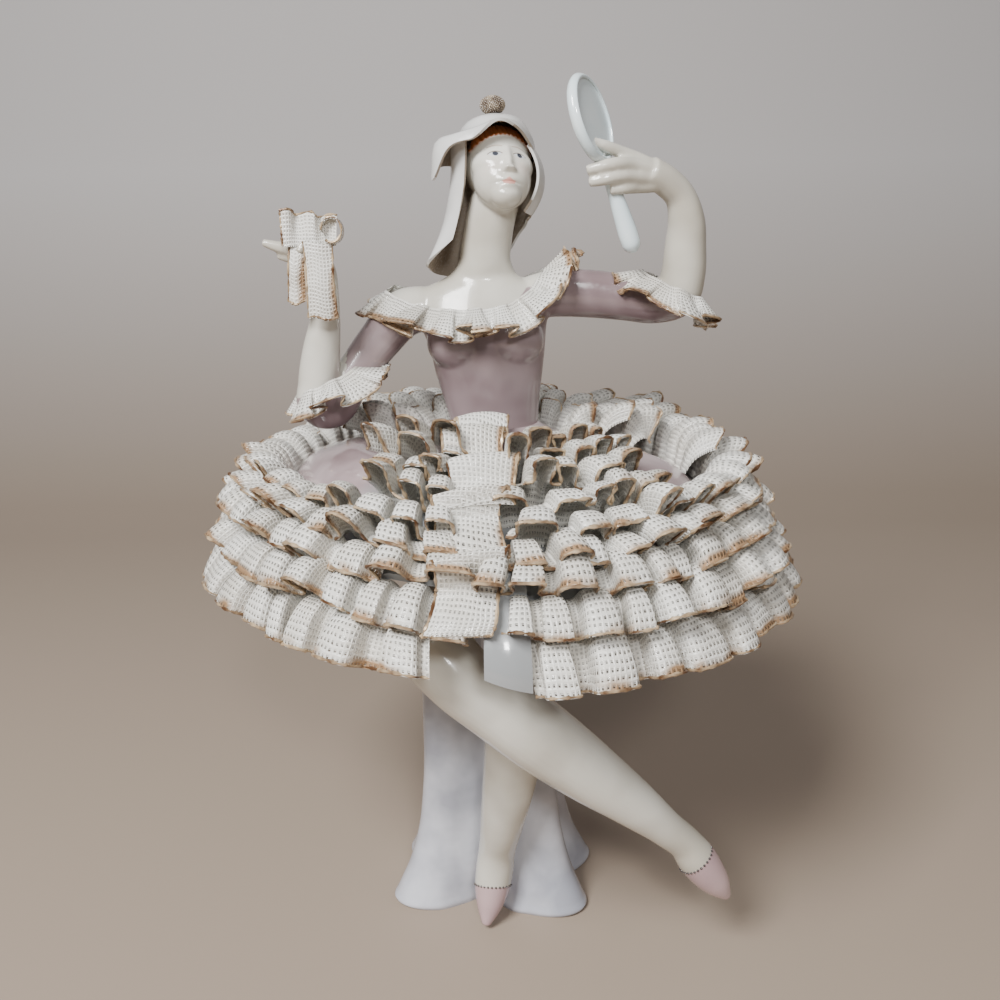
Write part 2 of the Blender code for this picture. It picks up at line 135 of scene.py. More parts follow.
def kiln_clouds():
    """Node group: soft clouds and fine specks that the firing leaves in a glaze."""
    group, taken, given = effect("kiln_clouds", ("Cloud Size", "Speck Size"), ("Clouds", "Specks"))
    where = add(group, "TexCoord")
    for size, detail, out in (("Cloud Size", 3.0, "Clouds"), ("Speck Size", 2.0, "Specks")):
        noise = add(group, "TexNoise", {"Detail": detail})
        spread = add(group, "MapRange", {"From Min": 0.36, "From Max": 0.64})
        wire(group, (where, "Object", noise, "Vector"), (taken, size, noise, "Scale"),
             (noise, "Fac", spread, "Value"), (spread, "Result", given, out))
    return group


KILN_CLOUDS = kiln_clouds()


def glaze(name, pale, deep, roughness=0.12, coat=0.5, cloud_size=45.0, bump=0.06):
    """A glaze that wanders between two colours, with a wet coat and a faintly uneven surface."""
    material = bpy.data.materials.new(name)
    material.use_nodes = True
    tree = material.node_tree
    shader = tree.nodes["Principled BSDF"]
    shader.inputs["Coat Weight"].default_value = coat
    shader.inputs["Coat Roughness"].default_value = 0.03
    clouds = add(tree, "Group", {"Cloud Size": cloud_size, "Speck Size": 900.0},
                 node_tree=KILN_CLOUDS, name="clouds")
    mix = add(tree, "Mix", {"A": (*pale, 1.0), "B": (*deep, 1.0)}, data_type="RGBA", name="ground")
    gloss = add(tree, "MapRange", {"To Min": roughness, "To Max": roughness + 0.10})
    uneven = add(tree, "Bump", {"Strength": bump, "Distance": 0.001})
    wire(tree, (clouds, "Clouds", mix, "Factor"), (mix, "Result", shader, "Base Color"),
         (clouds, "Specks", gloss, "Value"), (gloss, "Result", shader, "Roughness"),
         (clouds, "Clouds", uneven, "Height"), (uneven, "Normal", shader, "Normal"))
    return material


WHITE_GLAZE = glaze("white_glaze", (0.60, 0.61, 0.66), (0.36, 0.37, 0.42))
bm = bmesh.new()
barrel(bm, 170, 96)
profile = smooth_line([p[0] for p in PEDESTAL], [p[1:] for p in PEDESTAL])
for vert in bm.verts:
    height = PEDESTAL_HEIGHT * vert.co.z ** 1.25
    radius, depth = profile(height)
    turn = math.atan2(vert.co.y, vert.co.x)
    angle = math.degrees(turn) % 360.0
    swell = 0.0
    for fold in PEDESTAL_FOLDS:
        apart = abs((angle - fold + 180.0) % 360.0 - 180.0)
        if apart < FOLD_HALF:
            swell += (0.5 + 0.5 * math.cos(math.pi * apart / FOLD_HALF)) ** 0.8
    reach = radius + depth * (min(swell, 1.0) * 1.9 - 0.9)
    apart = abs((angle - RECESS_AT + 180.0) % 360.0 - 180.0)
    if apart < RECESS_HALF:
        reach += (RECESS_REACH - reach) * (0.5 + 0.5 * math.cos(math.pi * apart / RECESS_HALF)) ** 0.8
    vert.co = (reach * math.cos(turn), reach * math.sin(turn) + 2.0, height)
piece = finish("pedestal_drapery", bm, [WHITE_GLAZE])
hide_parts("draped_pedestal")

# The figure: one slip casting of a seated dancer with both arms raised and her right leg laid
# across the left. Ivory glaze, mauve lustre on bodice and sleeves, pale pink shoes, painted face.
# The face is a plain one of the workshop's own kind.
TRUNK = [(4, 9, 146, 13, 11), (4, 8, 152, 23, 17), (4, 7, 161, 25, 18),
         (4, 5, 171, 19.5, 14.5), (4, 3, 180, 15.8, 12), (3, 2, 190, 16.6, 12.4),
         (2.2, 1.2, 200, 18.6, 13.2), (1.6, 0.8, 211, 20.4, 13.4), (0.6, 1, 218, 22, 12.8),
         (0, 2, 225, 24, 11), (0.4, 3, 231, 20.5, 9.4), (0.6, 3.2, 234.5, 12.8, 8.4),
         (1.2, 2.8, 238, 9.8, 8.8), (2.2, 2, 246, 8.7, 8.2), (3.8, 1.2, 254, 8.7, 8.6),
         (6, 0.6, 262, 8.6, 9)]
LIMBS = [
    # right upper arm, elbow, forearm and palm
    [(-6, 3, 222, 6), (-17, 3, 224, 7.4), (-27, 2.5, 222.6, 8.4), (-36, 1, 213.5, 7.6),
     (-46, -1.8, 201, 6.9), (-54, -4.2, 190.5, 7.2), (-57, -6, 191.5, 7.4), (-56.6, -7.4, 199.5, 7.3),
     (-55, -9.4, 210, 6.5), (-52.6, -11.6, 221, 5.2), (-51, -13.6, 231, 3.9), (-51.6, -15.2, 237.5, 4.3),
     (-54, -17, 243.5, 4.2)],
    [(-53, -16.8, 243, 3), (-57.5, -17.8, 244.4, 2.6), (-61, -18, 244.8, 2.3), (-65, -18.5, 245.6, 1.95),
     (-70.2, -19, 247.2, 1.2)],
    [(-53, -16, 242, 2.6), (-57.5, -16.4, 242.4, 2.2), (-61.5, -16.8, 242.2, 1.9),
     (-66, -17.4, 243, 1.2)],
    [(-53, -17, 243, 2.2), (-56, -20, 247, 1.8), (-58, -22, 243.5, 1.4)],
    # left upper arm, elbow, forearm and palm
    [(6, 3, 224, 6), (16, 3, 226.8, 7.2), (26, 2.4, 228.4, 8.2), (38, 0, 228, 8.2),
     (50, -2.4, 226.6, 7.9), (60, -4, 225.4, 7.7), (66.6, -4.8, 227.4, 7.9), (68.6, -5.6, 234, 7.6),
     (69, -6.8, 243, 7), (68.8, -8.4, 251.5, 6.2), (66.2, -10, 259.4, 5.1), (61, -12.4, 264, 5),
     (55, -15, 267, 5)],
    [(56, -14.6, 268, 3), (51, -16.2, 270.6, 2.4), (45.7, -18.4, 272.6, 2.05), (39.6, -21.4, 274.6, 1.8),
     (34.6, -22.6, 276.2, 1.2)],
    [(56, -15.6, 267, 3), (50, -18.6, 268.6, 2.4), (43.5, -22.4, 268.8, 2.1), (38, -23, 267.8, 1.95),
     (34.4, -22.4, 267, 1.5)],
    [(56, -15.6, 265, 3), (50.5, -18.4, 265.2, 2.4), (44, -21.8, 265, 2.05), (39, -22.4, 264, 1.9),
     (35.2, -21.6, 263.4, 1.5)],
    [(57, -14.6, 263, 2.8), (51.5, -16.8, 262, 2.1), (46.5, -20, 261.4, 1.8), (42, -20.8, 260.8, 1.3)],
    [(60, -11, 266, 2.8), (53, -12, 270, 2.2), (46.5, -14.4, 272.6, 1.8), (41.5, -15.6, 274.6, 1.3)],
    # right leg, laid across, down to the toe of its shoe
    [(-3, 8, 158, 15), (-9, -22, 145, 14), (-14, -52, 131.5, 12.2), (-15, -66, 124, 11.6),
     (-9, -69.5, 117.6, 11), (2, -68.4, 107.6, 11.2), (16, -65.4, 94.6, 11.5), (32, -61, 79.4, 10.2),
     (48, -56.6, 64.4, 7.9), (59, -53.6, 53.4, 6.2), (65.4, -52.2, 47, 6), (68.8, -52.4, 42.2, 6.7),
     (72.4, -52.6, 37, 6.3), (76.4, -52.6, 31.6, 4.7), (80.2, -52.4, 26.2, 1.5)],
    # left leg, standing
    [(11, 8, 158, 14.5), (11, -20, 140, 13), (10, -44, 120, 11), (10, -47.5, 108, 10.2),
     (9.2, -43, 92, 10.2), (8, -38.4, 76, 10.1), (5.4, -33, 56, 9), (3, -28.6, 40, 7.6),
     (1.2, -25, 28, 6.8), (0.2, -24.6, 20, 7), (-1, -26.6, 13, 6.4), (-2.2, -29.6, 7, 4.4),
     (-3.4, -32.8, 2.2, 1.4)],
]
CLAY_VOXEL = 0.00048
HEAD = Vector((7.0, -1.6, 268.6))
HEAD_SIZE = 1.12
HEAD_TURN, HEAD_BACK, HEAD_ROLL = 14.0, 25.0, 5.0
NECKLINE = [(-2, -14.4, 224), (7, -13.6, 225), (14.5, -11, 228.5), (20, -5.5, 234),
            (24, 3, 237.4), (19, 11, 235), (8, 13.4, 231), (-6, 13.8, 229.5),
            (-19, 12.4, 229), (-28.5, 7, 231.5), (-31.5, -0.5, 230.5), (-24, -8.6, 226.5),
            (-12, -13, 224.2)]
NECKLINE_FALL = [(0, -0.45, -0.9), (0.1, -0.5, -0.86), (0.45, -0.5, -0.74), (0.75, -0.3, 0.1),
                 (0.8, 0.1, 0.6), (0.5, 0.7, 0.2), (0.1, 0.6, -0.8), (-0.1, 0.6, -0.8),
                 (-0.3, 0.6, -0.74), (-0.55, 0.35, -0.75), (-0.5, -0.15, -0.85), (-0.35, -0.45, -0.82),
                 (-0.1, -0.5, -0.86)]


def way_along(points):
    """How far along a line of points each of them lies."""
    return np.concatenate([[0.0], np.cumsum(np.linalg.norm(np.diff(points, axis=0), axis=1))])


def limb(bm, bones):
    """A round limb that follows a line of bones, each with its radius there."""
    bones = np.array(bones, float)
    steps = way_along(bones[:, :3])
    line = smooth_line(steps, bones)
    verts = barrel(bm, 28, max(12, int(steps[-1] / 1.5)))
    rows = {}
    for vert in verts:
        rows.setdefault(round(vert.co.z, 5), []).append(vert)
    side = None
    for level in sorted(rows):
        at = level * steps[-1]
        here = line(at)
        along = Vector(line(at + 0.4)[:3] - line(at - 0.4)[:3]).normalized()
        if side is None:
            side = along.orthogonal().normalized()
        side = (side - along * side.dot(along)).normalized()
        other = along.cross(side)
        for vert in rows[level]:
            vert.co = Vector(here[:3]) + (side * vert.co.x + other * vert.co.y) * here[3]


bm = bmesh.new()
verts = barrel(bm, 64, 90)
rings = np.array(TRUNK)
trunk = smooth_line(rings[:, 2], rings)
for vert in verts:
    here = trunk(TRUNK[0][2] + (TRUNK[-1][2] - TRUNK[0][2]) * vert.co.z)
    vert.co = (here[0] + vert.co.x * here[3], here[1] + vert.co.y * here[4], here[2])
for bones in LIMBS:
    limb(bm, bones)
head_axes = (Matrix.Rotation(math.radians(HEAD_TURN), 3, "Z")
             @ Matrix.Rotation(math.radians(HEAD_ROLL), 3, "Y")
             @ Matrix.Rotation(math.radians(-HEAD_BACK), 3, "X"))
# bust and shoulders: centre and half sizes
MASSES = [((-8.6, -3.6, 212.8), (10.6, 11, 10)), ((10.6, -3.6, 213.2), (10.6, 11, 10)),
          ((-25, 3, 224.4), (8.2, 7.4, 7)), ((24.6, 3, 228.6), (8.2, 7.6, 7))]
# skull, face, chin, cheeks: side, back and up from the head's centre, and their half sizes
SKULL = [((0, 1.6, 3), (9.9, 10.8, 11)), ((0, -2.6, -4), (8.7, 7.4, 9.2)),
         ((0, -5.4, -10.4), (4.8, 4, 3.8)), ((0, -3.6, -0.6), (9.3, 7.2, 6))]
head_place = Matrix.Translation(HEAD) @ head_axes.to_4x4() @ Matrix.Scale(HEAD_SIZE, 4)
for base, balls in ((Matrix.Identity(4), MASSES), (head_place, SKULL)):
    for centre, half in balls:
        place = base @ Matrix.Translation(centre) @ Matrix.Diagonal((*half, 1.0))
        bmesh.ops.create_icosphere(bm, subdivisions=5, radius=1.0, matrix=place)
bmesh.ops.scale(bm, vec=(0.001, 0.001, 0.001), verts=bm.verts)
clay = bpy.data.meshes.new("clay")
bm.to_mesh(clay)
bm.free()
clay_model = put("clay", clay)
for kind, settings in (("REMESH", {"mode": "VOXEL", "voxel_size": CLAY_VOXEL}),
                       ("SMOOTH", {"factor": 0.5, "iterations": 14}),
                       ("DECIMATE", {"ratio": 0.26})):
    step = clay_model.modifiers.new(kind.lower(), kind)
    for label, value in settings.items():
        setattr(step, label, value)
cast = bpy.data.meshes.new_from_object(clay_model.evaluated_get(bpy.context.evaluated_depsgraph_get()))
bpy.data.objects.remove(clay_model, do_unlink=True)
bm = bmesh.new()
bm.from_mesh(cast)
bmesh.ops.scale(bm, vec=(1000.0, 1000.0, 1000.0), verts=bm.verts)
to_head = head_axes.transposed() * (1.0 / HEAD_SIZE)
for _ in range(2):
    face_edges = []
    for edge in bm.edges:
        mid = to_head @ ((edge.verts[0].co + edge.verts[1].co) * 0.5 - HEAD)
        if mid.y < -4.5 and abs(mid.x) < 7.6 and -14.5 < mid.z < 7.0:
            face_edges.append(edge)
    bmesh.ops.subdivide_edges(bm, edges=face_edges, cuts=1, use_grid_fill=True)
bmesh.ops.triangulate(bm, faces=bm.faces)
for _ in range(3):
    near = [v for v in bm.verts if (v.co - HEAD).length < 16.0 and (to_head @ (v.co - HEAD)).y < -3.0]
    bmesh.ops.smooth_vert(bm, verts=near, factor=0.5, use_axis_x=True, use_axis_y=True, use_axis_z=True)
bm.normal_update()

# where each feature lies on the face: side, up, spread, how far it stands out
FACE = [(3.7, 0.6, 2.2, 1.7, -1.15), (3.7, 0.2, 1.35, 0.85, 0.62), (3.5, 3, 2.8, 0.9, 0.35),
        (4.9, -4.4, 2.6, 2.4, 0.45), (1.25, -4.9, 0.6, 0.55, 0.75)]
FACE_MIDDLE = [(0, -8.4, 3.1, 2, 0.85), (0, -7.75, 2, 0.42, 0.34), (0, -9.35, 1.6, 0.5, 0.42),
               (0, -8.5, 2.2, 0.17, -0.34), (0, -10.9, 2, 0.6, -0.3), (0, -12.9, 2.2, 1.7, 0.7)]
EYE_SIDE, EYE_UP = 3.7, 0.15
EYE_COLOUR, LID_COLOUR, WHITE_COLOUR = (0.05, 0.055, 0.07), (0.10, 0.07, 0.06), (0.62, 0.65, 0.68)
BROW_COLOUR, LIP_COLOUR, HAIR_COLOUR = (0.36, 0.24, 0.17), (0.64, 0.27, 0.22), (0.52, 0.175, 0.055)
BLUSH_COLOUR = (0.74, 0.42, 0.36)
forward = head_axes @ Vector((0.0, -1.0, 0.0))


def dab(side, up, at_side, at_up, wide, high):
    """How strongly a point of the face belongs to a soft spot of it."""
    return math.exp(-0.5 * ((side - at_side) / wide) ** 2 - 0.5 * ((up - at_up) / high) ** 2)


paint = bm.verts.layers.float_color.new("paint")
lustre = bm.verts.layers.float.new("lustre")
# the neckline seen from above, round the trunk's axis
turns, reaches, heights = np.array([(math.atan2(y - 2.0, x), math.hypot(x, y - 2.0), z)
                                    for x, y, z in NECKLINE]).T
# the middle of each sleeve's end and the way the forearm leaves it
SLEEVE_ENDS = [(Vector((-53.6, -6.0, 200.0)), Vector((-0.38, -0.10, 0.92)).normalized()),
               (Vector((65.0, -5.2, 229.5)), Vector((0.42, -0.10, 0.90)).normalized())]
for vert in bm.verts:
    co = vert.co
    local = to_head @ (co - HEAD)
    side, up = local.x, local.z
    colour = (0.0, 0.0, 0.0, 0.0)
    facing = (min(1.0, max(0.0, vert.normal.dot(forward) * 2.5 + 0.5))
              * min(1.0, max(0.0, (-2.0 - local.y) / 2.5)))
    if facing > 0.0 and (co - HEAD).length < 18.0:
        push = 0.0
        for at_side, at_up, wide, high, out in FACE:
            for half_side in (at_side, -at_side):
                push += out * dab(side, up, half_side, at_up, wide, high)
        for at_side, at_up, wide, high, out in FACE_MIDDLE:
            push += out * dab(side, up, at_side, at_up, wide, high)
        bridge = min(1.0, max(0.0, (3.2 - up) / 7.6))
        if -5.9 < up < 3.2:
            foot = 1.0 if up > -5.0 else max(0.0, (up + 5.9) / 0.9)
            ridge = math.exp(-0.5 * (side / (0.75 + 0.35 * bridge)) ** 2)
            push += (0.30 + 1.55 * bridge ** 1.5) * foot * ridge
        vert.co = co + forward * push * HEAD_SIZE * facing
        eye = (abs(side) - EYE_SIDE, up - EYE_UP)
        almond = 1.0 - (eye[0] / 2.0) ** 2 - (abs(eye[1]) / 0.95)
        iris = 0.84 - math.hypot(eye[0] + 0.05, eye[1] - 0.05)
        lid = abs(eye[1] - 0.95 * (1.0 - (eye[0] / 2.1) ** 2) - 0.05)
        brow = abs(up - 2.75 - 0.55 * math.cos((abs(side) - 3.4) / 2.4 * 1.5))
        if iris > 0.0 and almond > 0.0:
            colour = (*EYE_COLOUR, 1.0)
        elif abs(eye[0]) < 2.15 and lid < 0.26:
            colour = (*LID_COLOUR, 1.0 - lid / 0.34)
        elif almond > 0.0:
            colour = (*WHITE_COLOUR, 0.8)
        elif 1.4 < abs(side) < 5.7 and brow < 0.30:
            colour = (*BROW_COLOUR, (1.0 - brow / 0.30) * 0.75)
        upper = -8.5 < up < -7.5 - 0.34 * abs(side) + 0.16 * math.cos(side * 2.6) and abs(side) < 2.0
        lower = -9.55 + 0.18 * side ** 2 < up <= -8.5 and abs(side) < 1.8
        if upper or lower:
            colour = (*LIP_COLOUR, 0.8)
        if up > 6.9 - 0.035 * side ** 2:
            colour = (*HAIR_COLOUR, 1.0)
            vert.co += vert.normal * (0.7 + 0.22 * math.sin(side * 5.0 + up * 0.8))
        if colour[3] == 0.0:
            blush = dab(abs(side), up, 4.6, -3.6, 1.7, 1.5)
            colour = (*BLUSH_COLOUR, 0.16 * blush)
    vert[paint] = colour
    away = math.atan2(co.y - 2.0, co.x)
    reach, height = (np.interp(away, turns, line, period=2 * math.pi) for line in (reaches, heights))
    outside = max(math.hypot(co.x, co.y - 2.0) - reach - 2.0, height - co.z - 3.5)
    if co.z > 240.0 and abs(co.x) < 40.0:
        outside = -3.0
    arm = 10.0
    if co.x < -47.0:
        arm = (SLEEVE_ENDS[0][0] - co).dot(SLEEVE_ENDS[0][1])
    if co.x > 30.0:
        arm = 240.0 - co.z if co.x < 54.0 else (SLEEVE_ENDS[1][0] - co).dot(SLEEVE_ENDS[1][1])
    vert[lustre] = max(-3.0, min(3.0, outside, arm, co.z - 165.0))
shoe = bm.verts.layers.float.new("shoe")
# each shoe's opening: a point of it, the way to the toe, and where it lies in x
SHOES = [(Vector((68.0, -54.0, 41.6)), Vector((0.62, 0.10, -0.78)).normalized(), (55.0, 90.0)),
         (Vector((-1.0, -27.0, 15.4)), Vector((-0.05, -0.38, -0.92)).normalized(), (-20.0, 20.0))]
for vert in bm.verts:
    field = -3.0
    for at, along, (low, high) in SHOES:
        if low < vert.co.x < high and vert.co.z < 60.0:
            field = max(field, (vert.co - at).dot(along))
    vert[shoe] = max(-3.0, min(3.0, field))
SHOE_DOT = 0.42
surface = BVHTree.FromBMesh(bm)
count = len(bm.faces)
for at, along, _ in SHOES:
    towards = Vector((0.0, -1.0, 0.0))
    towards = (towards - along * towards.dot(along)).normalized()
    other = along.cross(towards)
    axis_at = at - towards * 2.0
    for k in range(-7, 8):
        out = towards * math.cos(k * 0.19) + other * math.sin(k * 0.19)
        hit = surface.ray_cast(axis_at + out * 14.0, -out)[0]
        if hit is not None:
            bmesh.ops.create_icosphere(bm, subdivisions=2, radius=SHOE_DOT,
                                       matrix=Matrix.Translation(hit + out * 0.1))
for face in bm.faces[:][count:]:
    face.material_index = 1


def zone(tree, label, soft):
    """How far a point lies inside a painted zone: 0 outside, 1 inside, soft over its edge."""
    field = add(tree, "Attribute", attribute_name=label)
    edge = add(tree, "MapRange", {"From Min": -soft, "From Max": soft})
    wire(tree, (field, "Fac", edge, "Value"))
    return edge


SKIN = glaze("ivory_skin", (0.70, 0.68, 0.61), (0.44, 0.405, 0.335), roughness=0.16, coat=0.4,
             cloud_size=24.0)
tree = SKIN.node_tree
last = tree.nodes["ground"]
for label, pale, deep in (("lustre", (0.40, 0.32, 0.325), (0.17, 0.12, 0.125)),
                          ("shoe", (0.55, 0.40, 0.40), (0.38, 0.26, 0.27))):
    tint = add(tree, "Mix", {"A": (*pale, 1.0), "B": (*deep, 1.0)}, data_type="RGBA")
    lay = add(tree, "Mix", data_type="RGBA")
    wire(tree, (tree.nodes["clouds"], "Clouds", tint, "Factor"), (tint, "Result", lay, "B"),
         (zone(tree, label, 0.15), "Result", lay, "Factor"), (last, "Result", lay, "A"))
    last = lay
painted = add(tree, "Attribute", attribute_name="paint")
lay = add(tree, "Mix", data_type="RGBA")
wire(tree, (painted, "Alpha", lay, "Factor"), (last, "Result", lay, "A"), (painted, "Color", lay, "B"),
     (lay, "Result", tree.nodes["Principled BSDF"], "Base Color"))
SHOE_DOTS = glaze("dark_shoe_dots", (0.12, 0.10, 0.09), (0.05, 0.04, 0.04), roughness=0.3)
piece = finish("dancer", bm, [SKIN, SHOE_DOTS], angle=None)
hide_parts("figure")

# The underskirt: a hand-built dome of thin porcelain round her waist that carries the lace.
# Mauve lustre over the hips; white glaze on the low front that shows between the rows, painted down to
# grey as shade.
SKIRT_X = 4.0
LEAN_FRONT, LEAN_SIDE = 0.045, 0.022
UNDERSKIRT_THICKNESS = 1.8
UNDERSKIRT = [(15, 184.5), (19, 182), (28, 177), (40, 173), (53, 169.5), (65, 165.5),
              (75, 160), (83, 153), (88.5, 143), (90.2, 133), (91, 128)]
# angle from the front, positive to the viewer's right; reach; lift of the hem
SKIRT_ROUND = np.array([(-180, 0.975, 0), (-130, 0.97, 0.5), (-90, 0.965, 1.5), (-60, 0.955, 3),
                        (-35, 0.955, 4.2), (-15, 0.985, 2.6), (5, 1.005, 0.6), (30, 1.005, 0.3),
                        (60, 0.985, 0.6), (90, 0.975, 0.8), (130, 0.97, 0.4), (180, 0.975, 0)], float)
# the two bare hip panels, which stand up like padded hips: middle and half width in degrees
HIPS = ((-68.0, 35.0), (60.0, 17.0))


def skirt_place(radius, height, turn):
    """Places on the leaning skirt, by radius, height and angle from the front."""
    around = (np.degrees(turn) + 180.0) % 360.0 - 180.0
    far = np.clip(np.asarray(radius, float) / 105.0, 0.0, 1.2) ** 2
    reach = radius * (1.0 + (np.interp(around, SKIRT_ROUND[:, 0], SKIRT_ROUND[:, 1]) - 1.0) * far)
    lift = np.interp(around, SKIRT_ROUND[:, 0], SKIRT_ROUND[:, 2]) * far
    x = reach * np.sin(turn)
    y = -reach * np.cos(turn)
    return np.stack([SKIRT_X + x, y, height + lift + LEAN_FRONT * y - LEAN_SIDE * x], -1)


def thicken(bm, thickness):
    """Turns a sheet into a thin wall."""
    bmesh.ops.recalc_face_normals(bm, faces=bm.faces)
    bmesh.ops.solidify(bm, geom=bm.faces[:], thickness=thickness)
    bmesh.ops.recalc_face_normals(bm, faces=bm.faces)


bm = bmesh.new()
levels = smooth_line(range(len(UNDERSKIRT)), UNDERSKIRT)
start = [bm.verts.new((r, 0.0, z)) for r, z in levels(np.linspace(0, len(UNDERSKIRT) - 1, 60))]
edges = [bm.edges.new(pair) for pair in zip(start, start[1:])]
bmesh.ops.spin(bm, geom=start + edges, axis=(0, 0, 1), cent=(0, 0, 0), steps=160, angle=2 * math.pi,
               use_merge=True)
bmesh.ops.remove_doubles(bm, verts=bm.verts, dist=0.001)
front_panel = bm.verts.layers.float.new("front_panel")
for vert in bm.verts:
    radius = math.hypot(vert.co.x, vert.co.y)
    turn = math.atan2(vert.co.y, vert.co.x)
    ripple = 0.5 * math.sin(7.0 * turn + 0.6) * min(1.0, max(0.0, (radius - 30.0) / 50.0))
    around = math.degrees(turn)
    # the hem is cut high over the crossed knee
    over_knee = math.exp(-((around + 13.5) / 13.0) ** 8)
    height = vert.co.z + over_knee * max(0.0, 156.0 - vert.co.z)
    for centre, half in HIPS:
        height += 8.5 * math.exp(-((around - centre) / half) ** 6 - ((radius - 57.0) / 16.0) ** 4)
    vert.co = skirt_place(radius + ripple, height, turn)
    vert[front_panel] = max(-5.0, min(5.0, (38.0 - abs(around)) * 0.4, (radius - 52.0) * 0.4))
# the white panel that hangs in the opening at the front
count = len(bm.verts)
bmesh.ops.create_grid(bm, x_segments=16, y_segments=30, size=0.5)
for vert in bm.verts[:][count:]:
    turn, drop = math.radians(1.3 + 7.4 * vert.co.x), 0.5 - vert.co.y
    reach = 86.0 + 15.5 * math.sin(drop * 1.6) + 1.2 * math.cos(vert.co.x * 2.6)
    vert.co = skirt_place(reach, 159.0 - 27.5 * drop - 3.0 * vert.co.x * drop, turn)
    vert[front_panel] = 5.0
bmesh.ops.remove_doubles(bm, verts=bm.verts, dist=0.001)
thicken(bm, UNDERSKIRT_THICKNESS)
MAUVE = glaze("mauve_lustre", (0.46, 0.37, 0.375), (0.25, 0.18, 0.185), roughness=0.12, coat=0.6,
              cloud_size=35.0)
tree = MAUVE.node_tree
# painted shade: the white glaze of the low front and the hanging panel is darkened to grey
lay = add(tree, "Mix", {"B": (0.28, 0.29, 0.295, 1.0)}, data_type="RGBA")
wire(tree, (zone(tree, "front_panel", 1.5), "Result", lay, "Factor"),
     (tree.nodes["ground"], "Result", lay, "A"),
     (lay, "Result", tree.nodes["Principled BSDF"], "Base Color"))
piece = finish("underskirt_dome", bm, [MAUVE])
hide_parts("underskirt")

# The skirt's lace rows: strips of real lace dipped in slip, gathered along one edge and laid on
# round the skirt in deep folds. The thread burns away and leaves a porcelain mesh.
# Satin ivory, with an uneven gold-brown line along the free edge.
LACE_THICKNESS = 0.5


def net_holes():
    """Node group: the square holes of the net, counted in mm along and across its strip."""
    group, taken, given = effect("net_holes", ("Hole Pitch",), ("Holes", "Threads"))
    strip = add(group, "Attribute", attribute_name="net")
    where = add(group, "TexCoord")
    wander = add(group, "TexNoise", {"Scale": 260.0})
    pulled = add(group, "VectorMath", {1: (1.3, 1.3, 0.0)}, operation="MULTIPLY_ADD")
    count = add(group, "VectorMath", operation="DIVIDE")
    part = add(group, "VectorMath", operation="FRACTION")
    middle = add(group, "VectorMath", {1: (0.5, 0.5, 0.0)}, operation="SUBTRACT")
    size = add(group, "VectorMath", operation="ABSOLUTE")
    sides = add(group, "SeparateXYZ")
    widest = add(group, "Math", {2: 0.12}, operation="SMOOTH_MAX")
    wire(group, (where, "Object", wander, "Vector"), (wander, "Color", pulled, 0),
         (strip, "Vector", pulled, 2), (pulled, "Vector", count, 0), (taken, "Hole Pitch", count, 1),
         (count, "Vector", part, 0), (part, "Vector", middle, 0), (middle, "Vector", size, 0),
         (size, "Vector", sides, "Vector"), (sides, "X", widest, 0), (sides, "Y", widest, 1))
    for out, low, high in (("Holes", 0.235, 0.165), ("Threads", 0.22, 0.50)):
        shape = add(group, "MapRange", {"From Min": low, "From Max": high})
        wire(group, (widest, "Value", shape, "Value"), (shape, "Result", given, out))
    return group


NET_HOLES = net_holes()


def lace_material(name, pitch):
    """Satin ivory slip full of small square holes, brown where the gold of the edge ran into it, the
    holes painted near black as shade.
    """
    material = glaze(name, (0.80, 0.785, 0.735), (0.66, 0.63, 0.565), roughness=0.34, coat=0.12,
                     cloud_size=60.0, bump=0.1)
    tree = material.node_tree
    shader = tree.nodes["Principled BSDF"]
    edge = add(tree, "Attribute", attribute_name="from_edge")
    run = add(tree, "MapRange", {"From Min": 3.4, "From Max": 0.2})
    patchy = add(tree, "Math", operation="MULTIPLY")
    pooled = add(tree, "MapRange", {"From Min": 0.22, "From Max": 0.62, "To Max": 0.92})
    stained = add(tree, "Mix", {"B": (0.30, 0.165, 0.07, 1.0)}, data_type="RGBA")
    net = add(tree, "Group", {"Hole Pitch": pitch}, node_tree=NET_HOLES)
    # painted shade: the holes are coloured near black, as the dark seen through the net
    painted_hole_shade = add(tree, "Mix", {"B": (0.07, 0.055, 0.04, 1.0)}, data_type="RGBA")
    solid = add(tree, "MapRange", {"To Min": 1.0, "To Max": 0.15})
    relief = add(tree, "Bump", {"Strength": 0.5, "Distance": 0.0004})
    wire(tree, (edge, "Fac", run, "Value"), (run, "Result", patchy, 0),
         (tree.nodes["clouds"], "Clouds", patchy, 1), (patchy, "Value", pooled, "Value"),
         (pooled, "Result", stained, "Factor"), (tree.nodes["ground"], "Result", stained, "A"),
         (net, "Holes", painted_hole_shade, "Factor"), (stained, "Result", painted_hole_shade, "A"),
         (painted_hole_shade, "Result", shader, "Base Color"), (net, "Holes", solid, "Value"),
         (solid, "Result", shader, "Alpha"), (net, "Threads", relief, "Height"),
         (relief, "Normal", shader, "Normal"))
    return material


LACE = lace_material("ivory_lace", 1.55)
FINE_LACE = lace_material("fine_ivory_lace", 1.2)
# thin gold over brown, patchy and partly rubbed
GOLD = glaze("gold_brown_edge", (0.58, 0.44, 0.28), (0.11, 0.05, 0.02), roughness=0.30, coat=0.2,
             cloud_size=190.0, bump=0.2)
GOLD.node_tree.nodes["Principled BSDF"].inputs["Metallic"].default_value = 0.25


def unit(vectors):
    """Vectors brought to a length of one."""
    return vectors / (np.linalg.norm(vectors, axis=-1, keepdims=True) + 1e-9)


